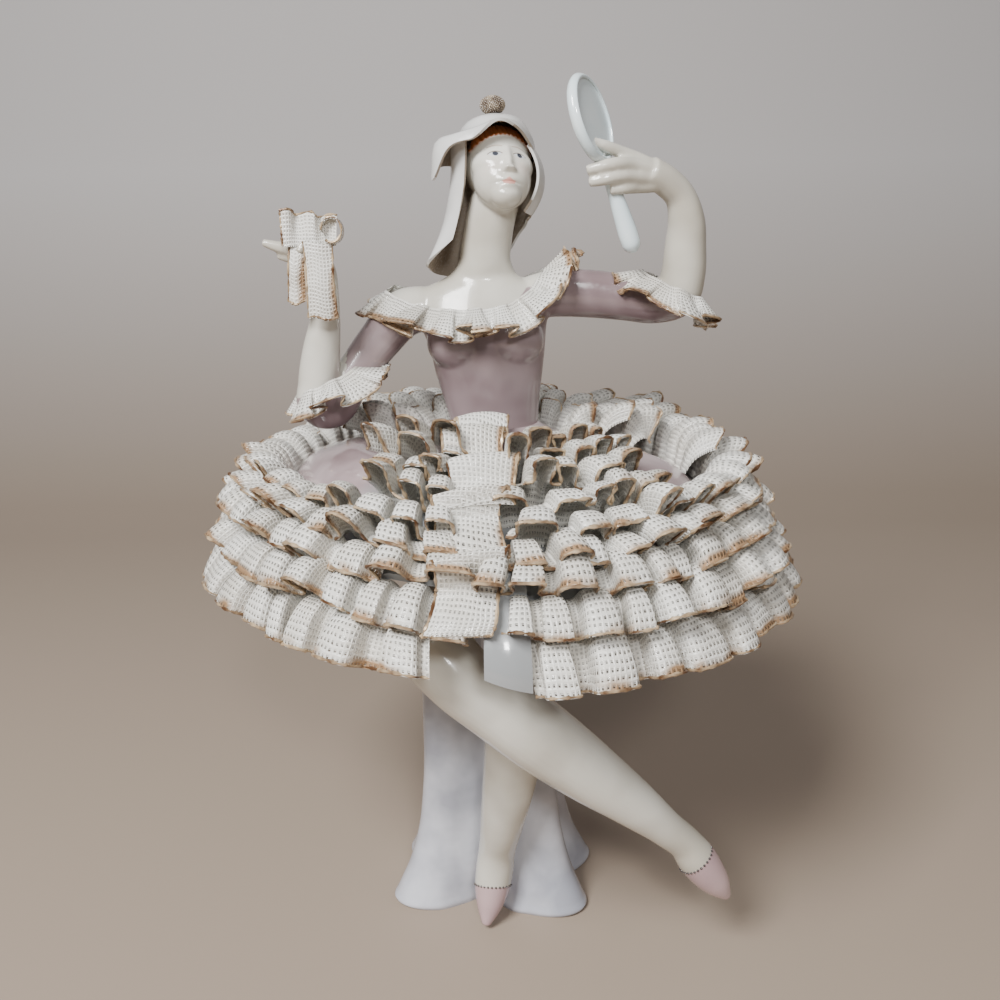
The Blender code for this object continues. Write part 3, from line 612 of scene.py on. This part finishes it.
def lace_strip(name, length, width, place, replaced, edge_radius=0.42, gold_sides=("far",), lace=LACE):
    """A strip of lace, set in place by a function of along and across.

    place takes two arrays, along in mm and across from 0 at the gathers to 1 at the free edge.
    Each gold side gets an uneven bead of gold along it.
    """
    columns, rows = max(6, round(length / 1.05)), max(5, round(width / 1.5))
    bm = bmesh.new()
    bmesh.ops.create_grid(bm, x_segments=columns, y_segments=rows, size=0.5)
    flat = np.array([v.co[:] for v in bm.verts]) + 0.5
    along, across = flat[:, 0] * length, flat[:, 1]
    from_edge = bm.verts.layers.float.new("from_edge")
    net = bm.verts.layers.float_vector.new("net")
    for vert, co, u, v in zip(bm.verts, place(along, across), along, across):
        vert.co = co
        vert[from_edge] = (1.0 - v) * width
        vert[net] = (u, v * width, 0.0)
    bmesh.ops.solidify(bm, geom=bm.faces[:], thickness=LACE_THICKNESS)
    bmesh.ops.recalc_face_normals(bm, faces=bm.faces)
    for side in gold_sides:
        count = len(bm.faces)
        verts = barrel(bm, 6, max(8, round(length / 1.15)))
        levels = np.array([v.co[:] for v in verts])
        if side in ("far", "near"):
            line_at = lambda f: place(f * length, np.full_like(f, float(side == "far")))
        else:
            line_at = lambda f: place(np.full_like(f, 0.0 if side == "start" else length), f)
        share = levels[:, 2]
        here, ahead, behind = (line_at(np.clip(share + step, 0, 1)) for step in (0.0, 0.002, -0.002))
        tangent = unit(ahead - behind)
        normal = unit(np.cross(tangent, np.array([0.13, 0.21, 0.97])))
        other = np.cross(tangent, normal)
        run = share * length
        bead = edge_radius * (1.0 + 0.34 * np.sin(run * 3.7) + 0.30 * np.sin(run * 1.31 + 2.0)
                              + 0.26 * np.sin(run * 0.23 + length))
        for vert, level, co, n, o, r in zip(verts, levels, here, normal, other, bead):
            vert.co = co + (n * level[0] + o * level[1]) * r
        for face in bm.faces[:][count:]:
            face.material_index = 1
    piece = finish(name, bm, [lace, GOLD], angle=35.0)
    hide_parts(*replaced)


def ruffle(name, replaced, profile, start, end, pitch, deep, perk, seed):
    """A strip gathered round the skirt. Its profile runs from the gathers to the free edge.

    Each fold has a width, depth, lean and lift of its own, as folds laid by hand do. perk is
    how far the free edge of a fold may be tipped up.
    """
    r0, z0, r1, z1, r2, z2 = profile
    span = math.radians(end - start) * r2
    waves = max(1, round(span / pitch))
    chance = np.random.default_rng(seed)
    widths = chance.uniform(0.5, 1.5, waves)
    edges = np.concatenate([[0.0], np.cumsum(widths)]) / widths.sum() * span
    middles = np.arange(waves) + 0.5
    depths = chance.uniform(0.5, 1.45, waves)
    leans = np.clip(chance.normal(0.0, 2.8, waves), -4.5, 4.5)
    sags = np.clip(chance.normal(0.0, 1.3, waves), -2.2, 2.2)
    tipped = chance.random(waves) < 0.3
    lifts = perk * np.where(tipped, chance.uniform(0.6, 1.0, waves), chance.uniform(-0.2, 0.2, waves))
    wide = chance.uniform(0.03, 0.15, waves)
    pinch = chance.uniform(0.07, 0.15, waves)
    phase = np.linspace(0.0, waves, waves * 72 + 1)

    def swing(p):
        """How far the fold stands out: flat crowns with narrow valleys between."""
        crown = np.tanh(-1.5 * np.cos(2 * math.pi * p)) / math.tanh(1.5)
        return deep * np.interp(p, middles, depths) * crown

    def slide(p):
        """How far along the skirt the folds spread at the crown and pinch at the valley."""
        t = 2 * math.pi * p
        return pitch * (np.interp(p, middles, pinch) * np.sin(2 * t)
                        - np.interp(p, middles, wide) * np.sin(t))

    base = np.interp(phase, np.arange(waves + 1), edges)
    steps = way_along(np.stack([base + slide(phase), swing(phase)], -1))
    flat_width = 0.5 * (math.hypot(r1 - r0, z1 - z0) + math.hypot(r2 - r1, z2 - z1)
                        + math.hypot(r2 - r0, z2 - z0))

    def place(along, across):
        p = np.interp(along, steps, phase)
        v = np.asarray(across, float)
        u = 1.0 - v
        open_up = 0.12 + 0.88 * (v * v * (3 - 2 * v)) ** 0.7
        lift = np.interp(p, middles, lifts) * v ** 3 + np.interp(p, middles, sags) * v
        radius = u * u * r0 + 2 * u * v * r1 + v * v * r2 + 0.25 * lift
        height = u * u * z0 + 2 * u * v * z1 + v * v * z2 + lift
        dr = 2 * u * (r1 - r0) + 2 * v * (r2 - r1)
        dz = 2 * u * (z1 - z0) + 2 * v * (z2 - z1)
        size = np.hypot(dr, dz) + 1e-9
        offset = swing(p) * open_up
        radius = radius - dz / size * offset
        height = height + dr / size * offset
        sideways = slide(p) * open_up + np.interp(p, middles, leans) * v * v
        turn = math.radians(start) + (np.interp(p, np.arange(waves + 1), edges) + sideways) / r2
        return skirt_place(radius, height, turn)

    lace_strip(name, steps[-1], flat_width, place, replaced)


# each row: its name, the CAD ruffle it stands for, its profile from gathers to free edge as radius
# and height, where it starts and ends round the skirt, the usual width and depth of its folds, how
# far their free edges tip up, and the seed of its chances
ROWS = [
    ("hem", "1_hem", (89, 143, 97.5, 146, 103.5, 130.5), 4.5, 348, 14.5, 4.8, 2.5, 1),
    ("2", "2", (85.5, 150.5, 93.5, 157, 100.2, 144), 0.8, 354.5, 13, 5.2, 4.5, 2),
    ("3", "3", (80.5, 157, 88, 166, 95.5, 155.5), -1.5, 355, 13, 5.2, 5, 3),
    ("3_upper", "3", (76.5, 160, 83.5, 171.5, 91, 162.5), 0.5, 352, 12.5, 4.8, 5, 16),
    ("4", "4", (73.5, 162, 78, 176.5, 86.5, 169.5), 3.5, 351, 12, 4.8, 5, 4),
    ("5", "5", (66, 165.5, 69.5, 181.5, 78.5, 176), -1, 44, 11, 4.5, 4.5, 5),
    ("5_side", "5", (66, 165.5, 69.5, 181.5, 78.5, 176), 78, 250, 12, 4.8, 4.5, 17),
    ("5_left", "5_front_left", (63, 166.5, 66.5, 181, 76.5, 175), 326, 350, 11.5, 4.6, 5, 6),
    ("5_upper", "5", (57, 168.5, 61, 185.5, 70.5, 180.5), 4.5, 41, 10, 4.2, 4, 14),
    ("5_upper_left", "5_front_left", (54, 169.5, 58, 185, 68.5, 179.5), 324, 350, 10.5, 4.3, 4.5, 15),
    ("6_right", "6_front_right", (47, 171.5, 51, 188.5, 61.5, 184.5), 0.5, 43, 9.4, 4, 4, 7),
    ("6_left", "6_front_left", (45, 172, 49, 187, 59.5, 182.5), 318, 349, 9.8, 4, 4, 8),
    ("6_back", "6_back", (48, 171.5, 52, 185, 60.5, 180), 96, 254, 12, 4.4, 4, 9),
    ("7_right", "7_front_right", (36, 175, 39, 190.5, 50.5, 187), 8, 45, 9, 3.7, 3.5, 10),
    ("7_left", "7_front_left", (34, 175.5, 37, 188.5, 48, 185.5), 308, 347, 9.4, 3.8, 4, 11),
    ("7_back", "7_back", (36, 175, 40, 186.5, 48, 183), 92, 258, 11, 4, 3, 12),
    ("8_back", "8_back", (26, 178, 29, 186.5, 36, 185), 88, 262, 10, 3, 2, 13),
]
for name, node, profile, *folds in ROWS:
    ruffle("lace_row_" + name, ("ruffle_" + node,), profile, *folds)

# The cascade: a strip of the same lace down the middle of the front, laid in small folds across
# and left to hang over the open front of the skirt.
CASCADE = [(16, 185, 8), (31, 186.5, 9), (45, 186, 10), (58, 184, 10.8), (71, 180, 10.4),
           (83, 173.5, 9.8), (93.5, 162.5, 9.6), (101, 147, 9.2)]
CASCADE_LENGTH = 104.0
CASCADE_GATHER = 1.7
CASCADE_PLEATS = 5.0
cascade_line = smooth_line(np.linspace(0.0, 1.0, len(CASCADE)), CASCADE)


def cascade_place(along, across):
    """Where the cascade's cloth lies: pleats across it that calm down towards its end."""
    f = along / CASCADE_GATHER / CASCADE_LENGTH
    here, ahead = cascade_line(f), cascade_line(np.clip(f + 0.01, 0, 1))
    slope = unit(ahead[..., :2] - here[..., :2])
    turn = 2 * math.pi * (f * CASCADE_PLEATS + 0.10 * np.sin(f * 9.0) + 0.16 * (across - 0.5))
    rise = 4.0 + 0.9 * np.sin(f * 21.0 + 1.0)
    calm = np.clip((1.0 - f) / 0.12, 0.0, 1.0)
    fold = rise * calm * (np.sin(turn) - 0.35 * np.sin(2 * turn)) / 1.2
    tuck = 4.0 * calm * (np.cos(turn) + 0.3 * np.cos(2 * turn))
    crown = 1.4 * (1.0 - (2.0 * across - 1.0) ** 2)
    radius = here[..., 0] + slope[..., 0] * tuck - slope[..., 1] * (fold + crown)
    height = here[..., 1] + slope[..., 1] * tuck + slope[..., 0] * (fold + crown)
    half = here[..., 2] * (1.0 + 0.10 * np.sin(turn + 0.8))
    drift = -1.6 - 9.0 * np.maximum(f - 0.55, 0.0) ** 1.5 * 2.2
    x = drift + (across - 0.5) * 2.0 * half + 1.6 * np.sin(turn * 0.5)
    return np.stack([x, -radius, height - LEAN_FRONT * radius], -1)


lace_strip("lace_cascade", CASCADE_LENGTH * CASCADE_GATHER, 21.0, cascade_place, ("front_cascade",),
           gold_sides=("far", "near", "end"))

# The collar and the two elbow frills: narrow strips of the same lace, gathered round the
# neckline and the sleeve ends, with their free edges standing off in small folds.


def frill(name, loop, centre, axis, width, flare, pitch, deep, pinch, seed, replaced, falls=None):
    """A closed gathered strip round a loop of points, hanging against an axis or as falls says."""
    points = np.array(loop, float)
    points = np.concatenate([points, points[:1]])
    stations = way_along(points)
    padded = np.concatenate([points[-3:-1], points, points[1:3]])
    reach = np.concatenate([stations[-3:-1] - stations[-1], stations, stations[1:3] + stations[-1]])
    line = smooth_line(reach, padded)
    if falls is not None:
        falls = np.array(falls, float)
        fall_line = smooth_line(reach, np.concatenate([falls[-2:], falls, falls[:3]]))
    axis = unit(np.array(axis, float))
    centre = np.array(centre, float)
    total = stations[-1]
    waves = max(3, round(total / pitch))
    turns = np.linspace(0.0, 2.0 * math.pi * waves, waves * 64 + 1)

    def strength(t):
        return (1.0 + 0.6 * np.sin(t * 0.37 + seed) * np.sin(t * 0.23 + 2.0 * seed)
                + 0.2 * np.sin(t * 0.53 + seed))

    def slide(t):
        drift = np.sin(t * 0.41 + 3.0 * seed) * np.sin(t / (2 * waves))
        return pinch * np.sin(2 * t) * strength(t) + 0.42 * pitch * drift

    flat = np.stack([turns / (2 * math.pi * waves) * total + slide(turns),
                     deep * strength(turns) * np.cos(turns)], -1)
    steps = way_along(flat)

    def place(along, across):
        t = np.interp(along, steps, turns)
        v = np.asarray(across, float)
        open_up = 0.15 + 0.85 * v
        at = (t / (2 * math.pi * waves) * total + slide(t) * open_up) % total
        here = line(at)
        out = here - centre
        out = unit(out - axis * (out @ axis)[..., None])
        run = unit(out * flare - axis if falls is None else fall_line(at))
        lift = out + axis * 0.5
        lift = unit(lift - run * np.sum(lift * run, axis=-1, keepdims=True))
        swing = (deep * strength(t) * (1.0 + np.cos(t)) * open_up + 0.6)[..., None]
        long = width * v * (1.0 + 0.16 * np.sin(t * 0.61 + 2.0 * seed) * v)
        return here + run * long[..., None] + lift * swing

    lace_strip(name, steps[-1], width, place, replaced, edge_radius=0.36, lace=FINE_LACE)


frill("lace_collar", NECKLINE, (0.0, 2.0, 226.0), (0.0, 0.0, 1.0), 10.5, 0.55, 8.5, 3.0, 1.9, 1.0,
      ("collar_frill",), falls=NECKLINE_FALL)
SLEEVE_HALF = (10.2, 8.6)
for name, (end, axis), seed, replaced in (("lace_cuff_right", SLEEVE_ENDS[0], 2.0, "cuff_frill_right"),
                                          ("lace_cuff_left", SLEEVE_ENDS[1], 3.0, "cuff_frill_left")):
    centre = end + Vector((0.0, 0.0, 1.0))
    side = axis.cross(Vector((0, 1, 0))).normalized()
    other = axis.cross(side)
    ring = [centre + side * math.cos(a) * SLEEVE_HALF[0] + other * math.sin(a) * SLEEVE_HALF[1]
            for a in np.linspace(0, 2 * math.pi, 16, endpoint=False)]
    frill(name, ring, centre, axis, 10.0, 0.75, 8.0, 2.3, 1.4, seed, (replaced,))

# The lace in her right hand: a kerchief gathered in the middle, its two tails hanging down
# and a loop of it standing over the fingers.
CREST_LENGTH, CURL_LENGTH = 26.0, 20.0


def tail(x_top, x_low, z_top, z_low, y, half, bow, seed):
    """A hanging tail of the kerchief, slightly curved across."""
    def place(along, across):
        f = along / (z_top - z_low)
        narrow = 1.0 - 0.12 * np.sin(f * 2.5 + seed)
        x = x_top + (x_low - x_top) * f + (across - 0.5) * 2 * half * narrow
        z = z_top + (z_low - z_top) * f + 0.6 * np.sin(across * 6.0 + seed)
        depth = y - bow * (1.0 - (2 * across - 1.0) ** 2) + 0.5 * np.sin(f * 7.0 + seed)
        return np.stack([x, depth, z], -1)
    return place


lace_strip("kerchief_tail_front", 24.0, 10.0, tail(-51.6, -51.2, 247.0, 223.4, -23.4, 4.9, 1.2, 0.4),
           ("lace_bow",), 0.36, ("far", "near", "end"), FINE_LACE)
lace_strip("kerchief_tail_side", 19.0, 5.0, tail(-58.6, -59.6, 247.0, 228.6, -21.6, 2.5, 0.8, 2.0),
           ("lace_bow",), 0.34, ("near", "end"), FINE_LACE)


def crest_place(along, across):
    """The kerchief's top, standing over the fingers."""
    f = along / CREST_LENGTH
    x = -62.8 + 16.8 * f + 0.7 * np.sin(f * 14.0) * (0.4 + across)
    z = 246.0 + across * (10.8 - 2.2 * f + 0.6 * np.sin(f * 15.0))
    y = -22.6 - 1.7 * np.sin(f * 12.0 + 0.8) * (0.25 + 0.75 * across)
    return np.stack([x, y, z], -1)


def curl_place(along, across):
    """A loop of the kerchief at the viewer's right, seen from its end."""
    turn = along / CURL_LENGTH * 5.4 - 2.2
    x = -46.8 + 3.3 * np.cos(turn)
    z = 250.6 + 3.9 * np.sin(turn)
    return np.stack([x, -24.6 + 6.0 * across, z], -1)


lace_strip("kerchief_crest", CREST_LENGTH, 10.5, crest_place, ("lace_bow",), 0.34, ("far", "start"),
           FINE_LACE)
lace_strip("kerchief_curl", CURL_LENGTH, 6.0, curl_place, ("lace_bow",), 0.36, ("near",), FINE_LACE)

# The hand mirror: a round cast mirror, its back towards the viewer, with a raised rim round a
# sunk field and a tapered round handle. Pale blue-white glaze.
MIRROR_CENTRE = Vector((36.0, -19.8, 282.6))
MIRROR_END = Vector((50.5, -16.0, 241.7))
MIRROR_HALF = (14.2, 12.4, 1.7)
# the grip: way along it from its end, and its radius there
MIRROR_GRIP = ((0.0, 1.2), (0.7, 2.2), (2.0, 2.9), (5.0, 3.2), (12.0, 2.9), (22.0, 2.3), (31.2, 2.5))
long_axis = (MIRROR_CENTRE - MIRROR_END).normalized()
face = Vector((0.89, -0.45, 0.0))
face = (face - long_axis * face.dot(long_axis)).normalized()
across_axis = long_axis.cross(face)
MIRROR_GLAZE = glaze("mirror_glaze", (0.80, 0.88, 0.90), (0.62, 0.75, 0.80), roughness=0.10, coat=0.6)
bm = bmesh.new()
disc = barrel(bm, 96, 23)
# across the section: share of the radius, share of the half thickness
section = smooth_line(np.linspace(0, 1, 9), [
    (0.0, -0.5), (0.80, -0.5), (0.86, -0.95), (0.93, -1.0), (1.0, 0.0), (0.93, 1.0), (0.86, 0.95),
    (0.80, 0.5), (0.0, 0.5)])
caps = [f for f in bm.faces if len(f.verts) > 4]
bmesh.ops.delete(bm, geom=caps, context="FACES_ONLY")
for vert in disc:
    share, thick = section(0.02 + 0.96 * vert.co.z)
    turn = math.atan2(vert.co.y, vert.co.x)
    vert.co = (MIRROR_CENTRE + long_axis * (MIRROR_HALF[0] * share * math.cos(turn))
               + across_axis * (MIRROR_HALF[1] * share * math.sin(turn))
               + face * (MIRROR_HALF[2] * thick))
bmesh.ops.holes_fill(bm, edges=[e for e in bm.edges if e.is_boundary], sides=100)
limb(bm, [(*(MIRROR_END + long_axis * way), radius) for way, radius in MIRROR_GRIP])
bmesh.ops.recalc_face_normals(bm, faces=bm.faces)
piece = finish("mirror_with_handle", bm, [MIRROR_GLAZE])
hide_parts("hand_mirror")

# The hat: a thin shell of slip modelled by hand, turned up over the forehead and drooping in a
# flap at the viewer's left. White glaze outside, its underside painted brown as shade.
HAT_CENTRE = Vector((5.6, 0.6, 268.0))
HAT_TOP = (0.4, 287.6)
SHELL_THICKNESS = 0.9
HAT_RINGS = [
    # turn, then radius and height of crown, band, brim and lip
    (172, (9, 284.5), (13.5, 279.5), (19, 276.2), (20.4, 270.5)),
    (186, (9, 284.7), (13.5, 279.8), (20.4, 277), (21.6, 267.2)),
    (202, (9, 284.9), (13.5, 280.2), (20.6, 277.6), (21.8, 266.8)),
    (218, (9, 285.2), (13.4, 281.2), (18.4, 279.2), (20, 275)),
    (245, (9, 285.8), (12.8, 282.4), (14.6, 281.2), (15.8, 278.6)),
    (275, (9, 286.2), (12.4, 284.2), (14.2, 284.2), (15.4, 284.2)),
    (300, (9, 286), (12.4, 283.8), (13.9, 283.2), (14.7, 282)),
    (325, (9, 285.6), (12.6, 281.6), (13.6, 279.2), (14, 277.6)),
    (350, (9, 285), (12.8, 279.5), (13.8, 275), (14.2, 273)),
    (90, (9, 284.6), (13.4, 278.4), (14.6, 273.4), (15, 271.5)),
    (135, (9, 284.8), (13.6, 279), (15.8, 274.5), (16.4, 271.6))]
stops = sorted(((turn - 360.0 if turn > 350.0 else turn), *rest) for turn, *rest in HAT_RINGS)
hat_turns = np.array([s[0] for s in stops])
hat_turns = np.concatenate([hat_turns[-2:] - 360.0, hat_turns, hat_turns[:2] + 360.0])
hat_values = np.array([[v for ring in s[1:] for v in ring] for s in stops])
hat_line = smooth_line(hat_turns, np.concatenate([hat_values[-2:], hat_values, hat_values[:2]]))
bm = bmesh.new()
bmesh.ops.create_circle(bm, segments=96, radius=1.0, cap_ends=False)
rim = bm.edges[:]
for _ in range(16):
    grown = bmesh.ops.extrude_edge_only(bm, edges=rim)["geom"]
    rim = [e for e in grown if isinstance(e, bmesh.types.BMEdge)]
    bmesh.ops.translate(bm, vec=(0, 0, 1), verts=list({v for e in rim for v in e.verts}))
for vert in bm.verts:
    level = vert.co.z / 16.0
    turn = math.atan2(vert.co.y, vert.co.x)
    v = hat_line(math.degrees(turn) % 360.0)
    line = smooth_line((0.0, 0.3, 0.55, 0.82, 1.0), [HAT_TOP, v[0:2], v[2:4], v[4:6], v[6:8]])
    radius, height = line(level)
    vert.co = (HAT_CENTRE.x + radius * math.cos(turn), HAT_CENTRE.y + radius * math.sin(turn), height)
bmesh.ops.holes_fill(bm, edges=[e for e in bm.edges if e.is_boundary and e.verts[0].co.z > 287.0],
                     sides=100)
HAT_GLAZE = glaze("hat_glaze", (0.69, 0.685, 0.67), (0.55, 0.54, 0.52), roughness=0.14)
# painted shade: brown laid on the inner faces of the hat and the veil
PAINTED_INNER_SHADE = glaze("painted_brown_shade", (0.44, 0.385, 0.32), (0.27, 0.215, 0.165), roughness=0.2,
                  cloud_size=30.0)


def shell(name, bm, middle, replaced):
    """Gives a sheet its thickness, with the faces towards the middle painted brown as shade."""
    thicken(bm, SHELL_THICKNESS)
    for face in bm.faces:
        if face.normal.dot(middle - face.calc_center_median()) > 0.0:
            face.material_index = 1
    piece = finish(name, bm, [HAT_GLAZE, PAINTED_INNER_SHADE])
    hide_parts(replaced)


shell("hat_shell", bm, HAT_CENTRE, "hat")

# The pompom: a small ball on the hat, rolled in fine grog beads and touched with gold and brown.
POMPOM = Vector((5.2, -2.4, 289.6))
POMPOM_RADIUS = 3.9
BEAD_COUNT = 330
GOLDEN_TURN = 2.399963
BEADS = glaze("brown_beads", (0.36, 0.29, 0.21), (0.12, 0.085, 0.06), roughness=0.42, coat=0.1,
              cloud_size=500.0)
bm = bmesh.new()
flattened = Matrix.Translation(POMPOM) @ Matrix.Diagonal((1.0, 1.0, 0.72, 1.0))
bmesh.ops.create_icosphere(bm, subdivisions=3, radius=POMPOM_RADIUS, matrix=flattened)
for k in range(BEAD_COUNT):
    up = 1.0 - 2.0 * (k + 0.5) / BEAD_COUNT
    turn = k * GOLDEN_TURN
    flat = math.sqrt(1.0 - up * up)
    at = flattened @ (Vector((flat * math.cos(turn), flat * math.sin(turn), up)) * (POMPOM_RADIUS + 0.1))
    bmesh.ops.create_icosphere(bm, subdivisions=1, radius=0.32 + 0.06 * math.sin(k * 1.7),
                               matrix=Matrix.Translation(at))
piece = finish("pompom_beads", bm, [BEADS])
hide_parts("hat_pompom")

# The veil: a sheet of slip hung from the hat behind the head, one edge beside each cheek.
# It flares away from the neck at the viewer's left. White glaze, its inner side painted brown as shade.
# share of the way round from the viewer's right, heights of top and foot, radius at top, middle, foot
VEIL_EDGE = [(0, 276.5, 256, 12, 15.6, 10.5), (0.1, 275.5, 255, 12.6, 15.8, 11),
             (0.3, 273.5, 250.5, 13.6, 15, 12), (0.5, 273.5, 238.5, 13.6, 14.4, 15),
             (0.7, 275, 234.5, 14, 15, 18), (0.86, 277, 237, 13.8, 16, 23),
             (0.94, 278, 240, 13.2, 15.2, 23), (1, 279, 247, 12.2, 13.6, 17)]
veil_line = smooth_line([e[0] for e in VEIL_EDGE], [e[1:] for e in VEIL_EDGE])
bm = bmesh.new()
bmesh.ops.create_grid(bm, x_segments=110, y_segments=40, size=0.5)
for vert in bm.verts:
    f, g = vert.co.x + 0.5, vert.co.y + 0.5
    top, low, r_top, r_mid, r_low = veil_line(f)
    height = top + (low - top) * g
    radius = r_top * (1 - g) * (1 - 2 * g) + 4 * r_mid * g * (1 - g) + r_low * g * (2 * g - 1)
    turn = math.radians(62.0 + (250.0 - 20.0 * max(0.0, g - 0.45)) * f)
    radius += 0.3 * math.sin(turn * 9.0) * g
    vert.co = (HAT_CENTRE.x + radius * math.sin(turn), HAT_CENTRE.y - radius * math.cos(turn), height)
shell("veil_sheet", bm, HAT_CENTRE - Vector((0.0, 0.0, 6.0)), "veil")

# The floor, the light and the camera. The floor runs back and sweeps up, and gets paler as it
# climbs. These figures are in metres.
SWEEP_START, SWEEP_RADIUS = 0.55, 0.4
SWEEP_LENGTH = 0.5 * math.pi * SWEEP_RADIUS
bm = bmesh.new()
bmesh.ops.create_grid(bm, x_segments=1, y_segments=60, size=0.5)
for vert in bm.verts:
    run = -2.5 + 5.5 * (vert.co.y + 0.5)
    bend = min(max(run - SWEEP_START, 0.0), SWEEP_LENGTH) / SWEEP_RADIUS
    rise = max(0.0, run - SWEEP_START - SWEEP_LENGTH)
    vert.co = (vert.co.x * 6.0, min(run, SWEEP_START) + SWEEP_RADIUS * math.sin(bend),
               SWEEP_RADIUS * (1.0 - math.cos(bend)) + rise)
for face in bm.faces:
    face.smooth = True
floor_mesh = bpy.data.meshes.new("floor")
bm.to_mesh(floor_mesh)
bm.free()
floor = put("floor", floor_mesh)
pale = bpy.data.materials.new("pale_floor")
pale.use_nodes = True
tree = pale.node_tree
shader = tree.nodes["Principled BSDF"]
shader.inputs["Roughness"].default_value = 0.7
where = add(tree, "TexCoord")
level = add(tree, "SeparateXYZ")
climb = add(tree, "MapRange", {"From Min": 0.0, "From Max": 0.35})
sweep = add(tree, "Mix", {"A": (0.34, 0.27, 0.21, 1.0), "B": (0.62, 0.60, 0.595, 1.0)}, data_type="RGBA")
wire(tree, (where, "Object", level, "Vector"), (level, "Z", climb, "Value"),
     (climb, "Result", sweep, "Factor"), (sweep, "Result", shader, "Base Color"))
floor_mesh.materials.append(pale)

world = bpy.data.worlds.new("room")
world.use_nodes = True
background = world.node_tree.nodes["Background"]
background.inputs["Color"].default_value = (0.62, 0.60, 0.60, 1.0)
background.inputs["Strength"].default_value = 0.26
bpy.context.scene.world = world
for name, place, size, power in (("window", (-0.44, -0.76, 0.94), 0.42, 26.0),
                                 ("lamp", (0.12, -0.92, 0.66), 0.12, 4.0)):
    light = bpy.data.lights.new(name, "AREA")
    light.energy = power
    light.size = size
    lamp = put(name, light)
    lamp.location = place
    lamp.rotation_euler = (Vector((0.0, 0.0, 0.15)) - Vector(place)).to_track_quat("-Z", "Y").to_euler()

CAMERA_PLACE = (0.005, -0.353, 0.2414)
CAMERA_TILT, CAMERA_ROLL = 76.28, -1.18
view = bpy.data.cameras.new("photo_view")
view.sensor_width = 36.0
view.lens = 36.0
view.clip_start = 0.01
camera = put("photo_view", view)
camera.matrix_world = (Matrix.Translation(CAMERA_PLACE)
                       @ Matrix.Rotation(math.radians(CAMERA_TILT), 4, "X")
                       @ Matrix.Rotation(math.radians(CAMERA_ROLL), 4, "Z"))
bpy.context.scene.camera = camera
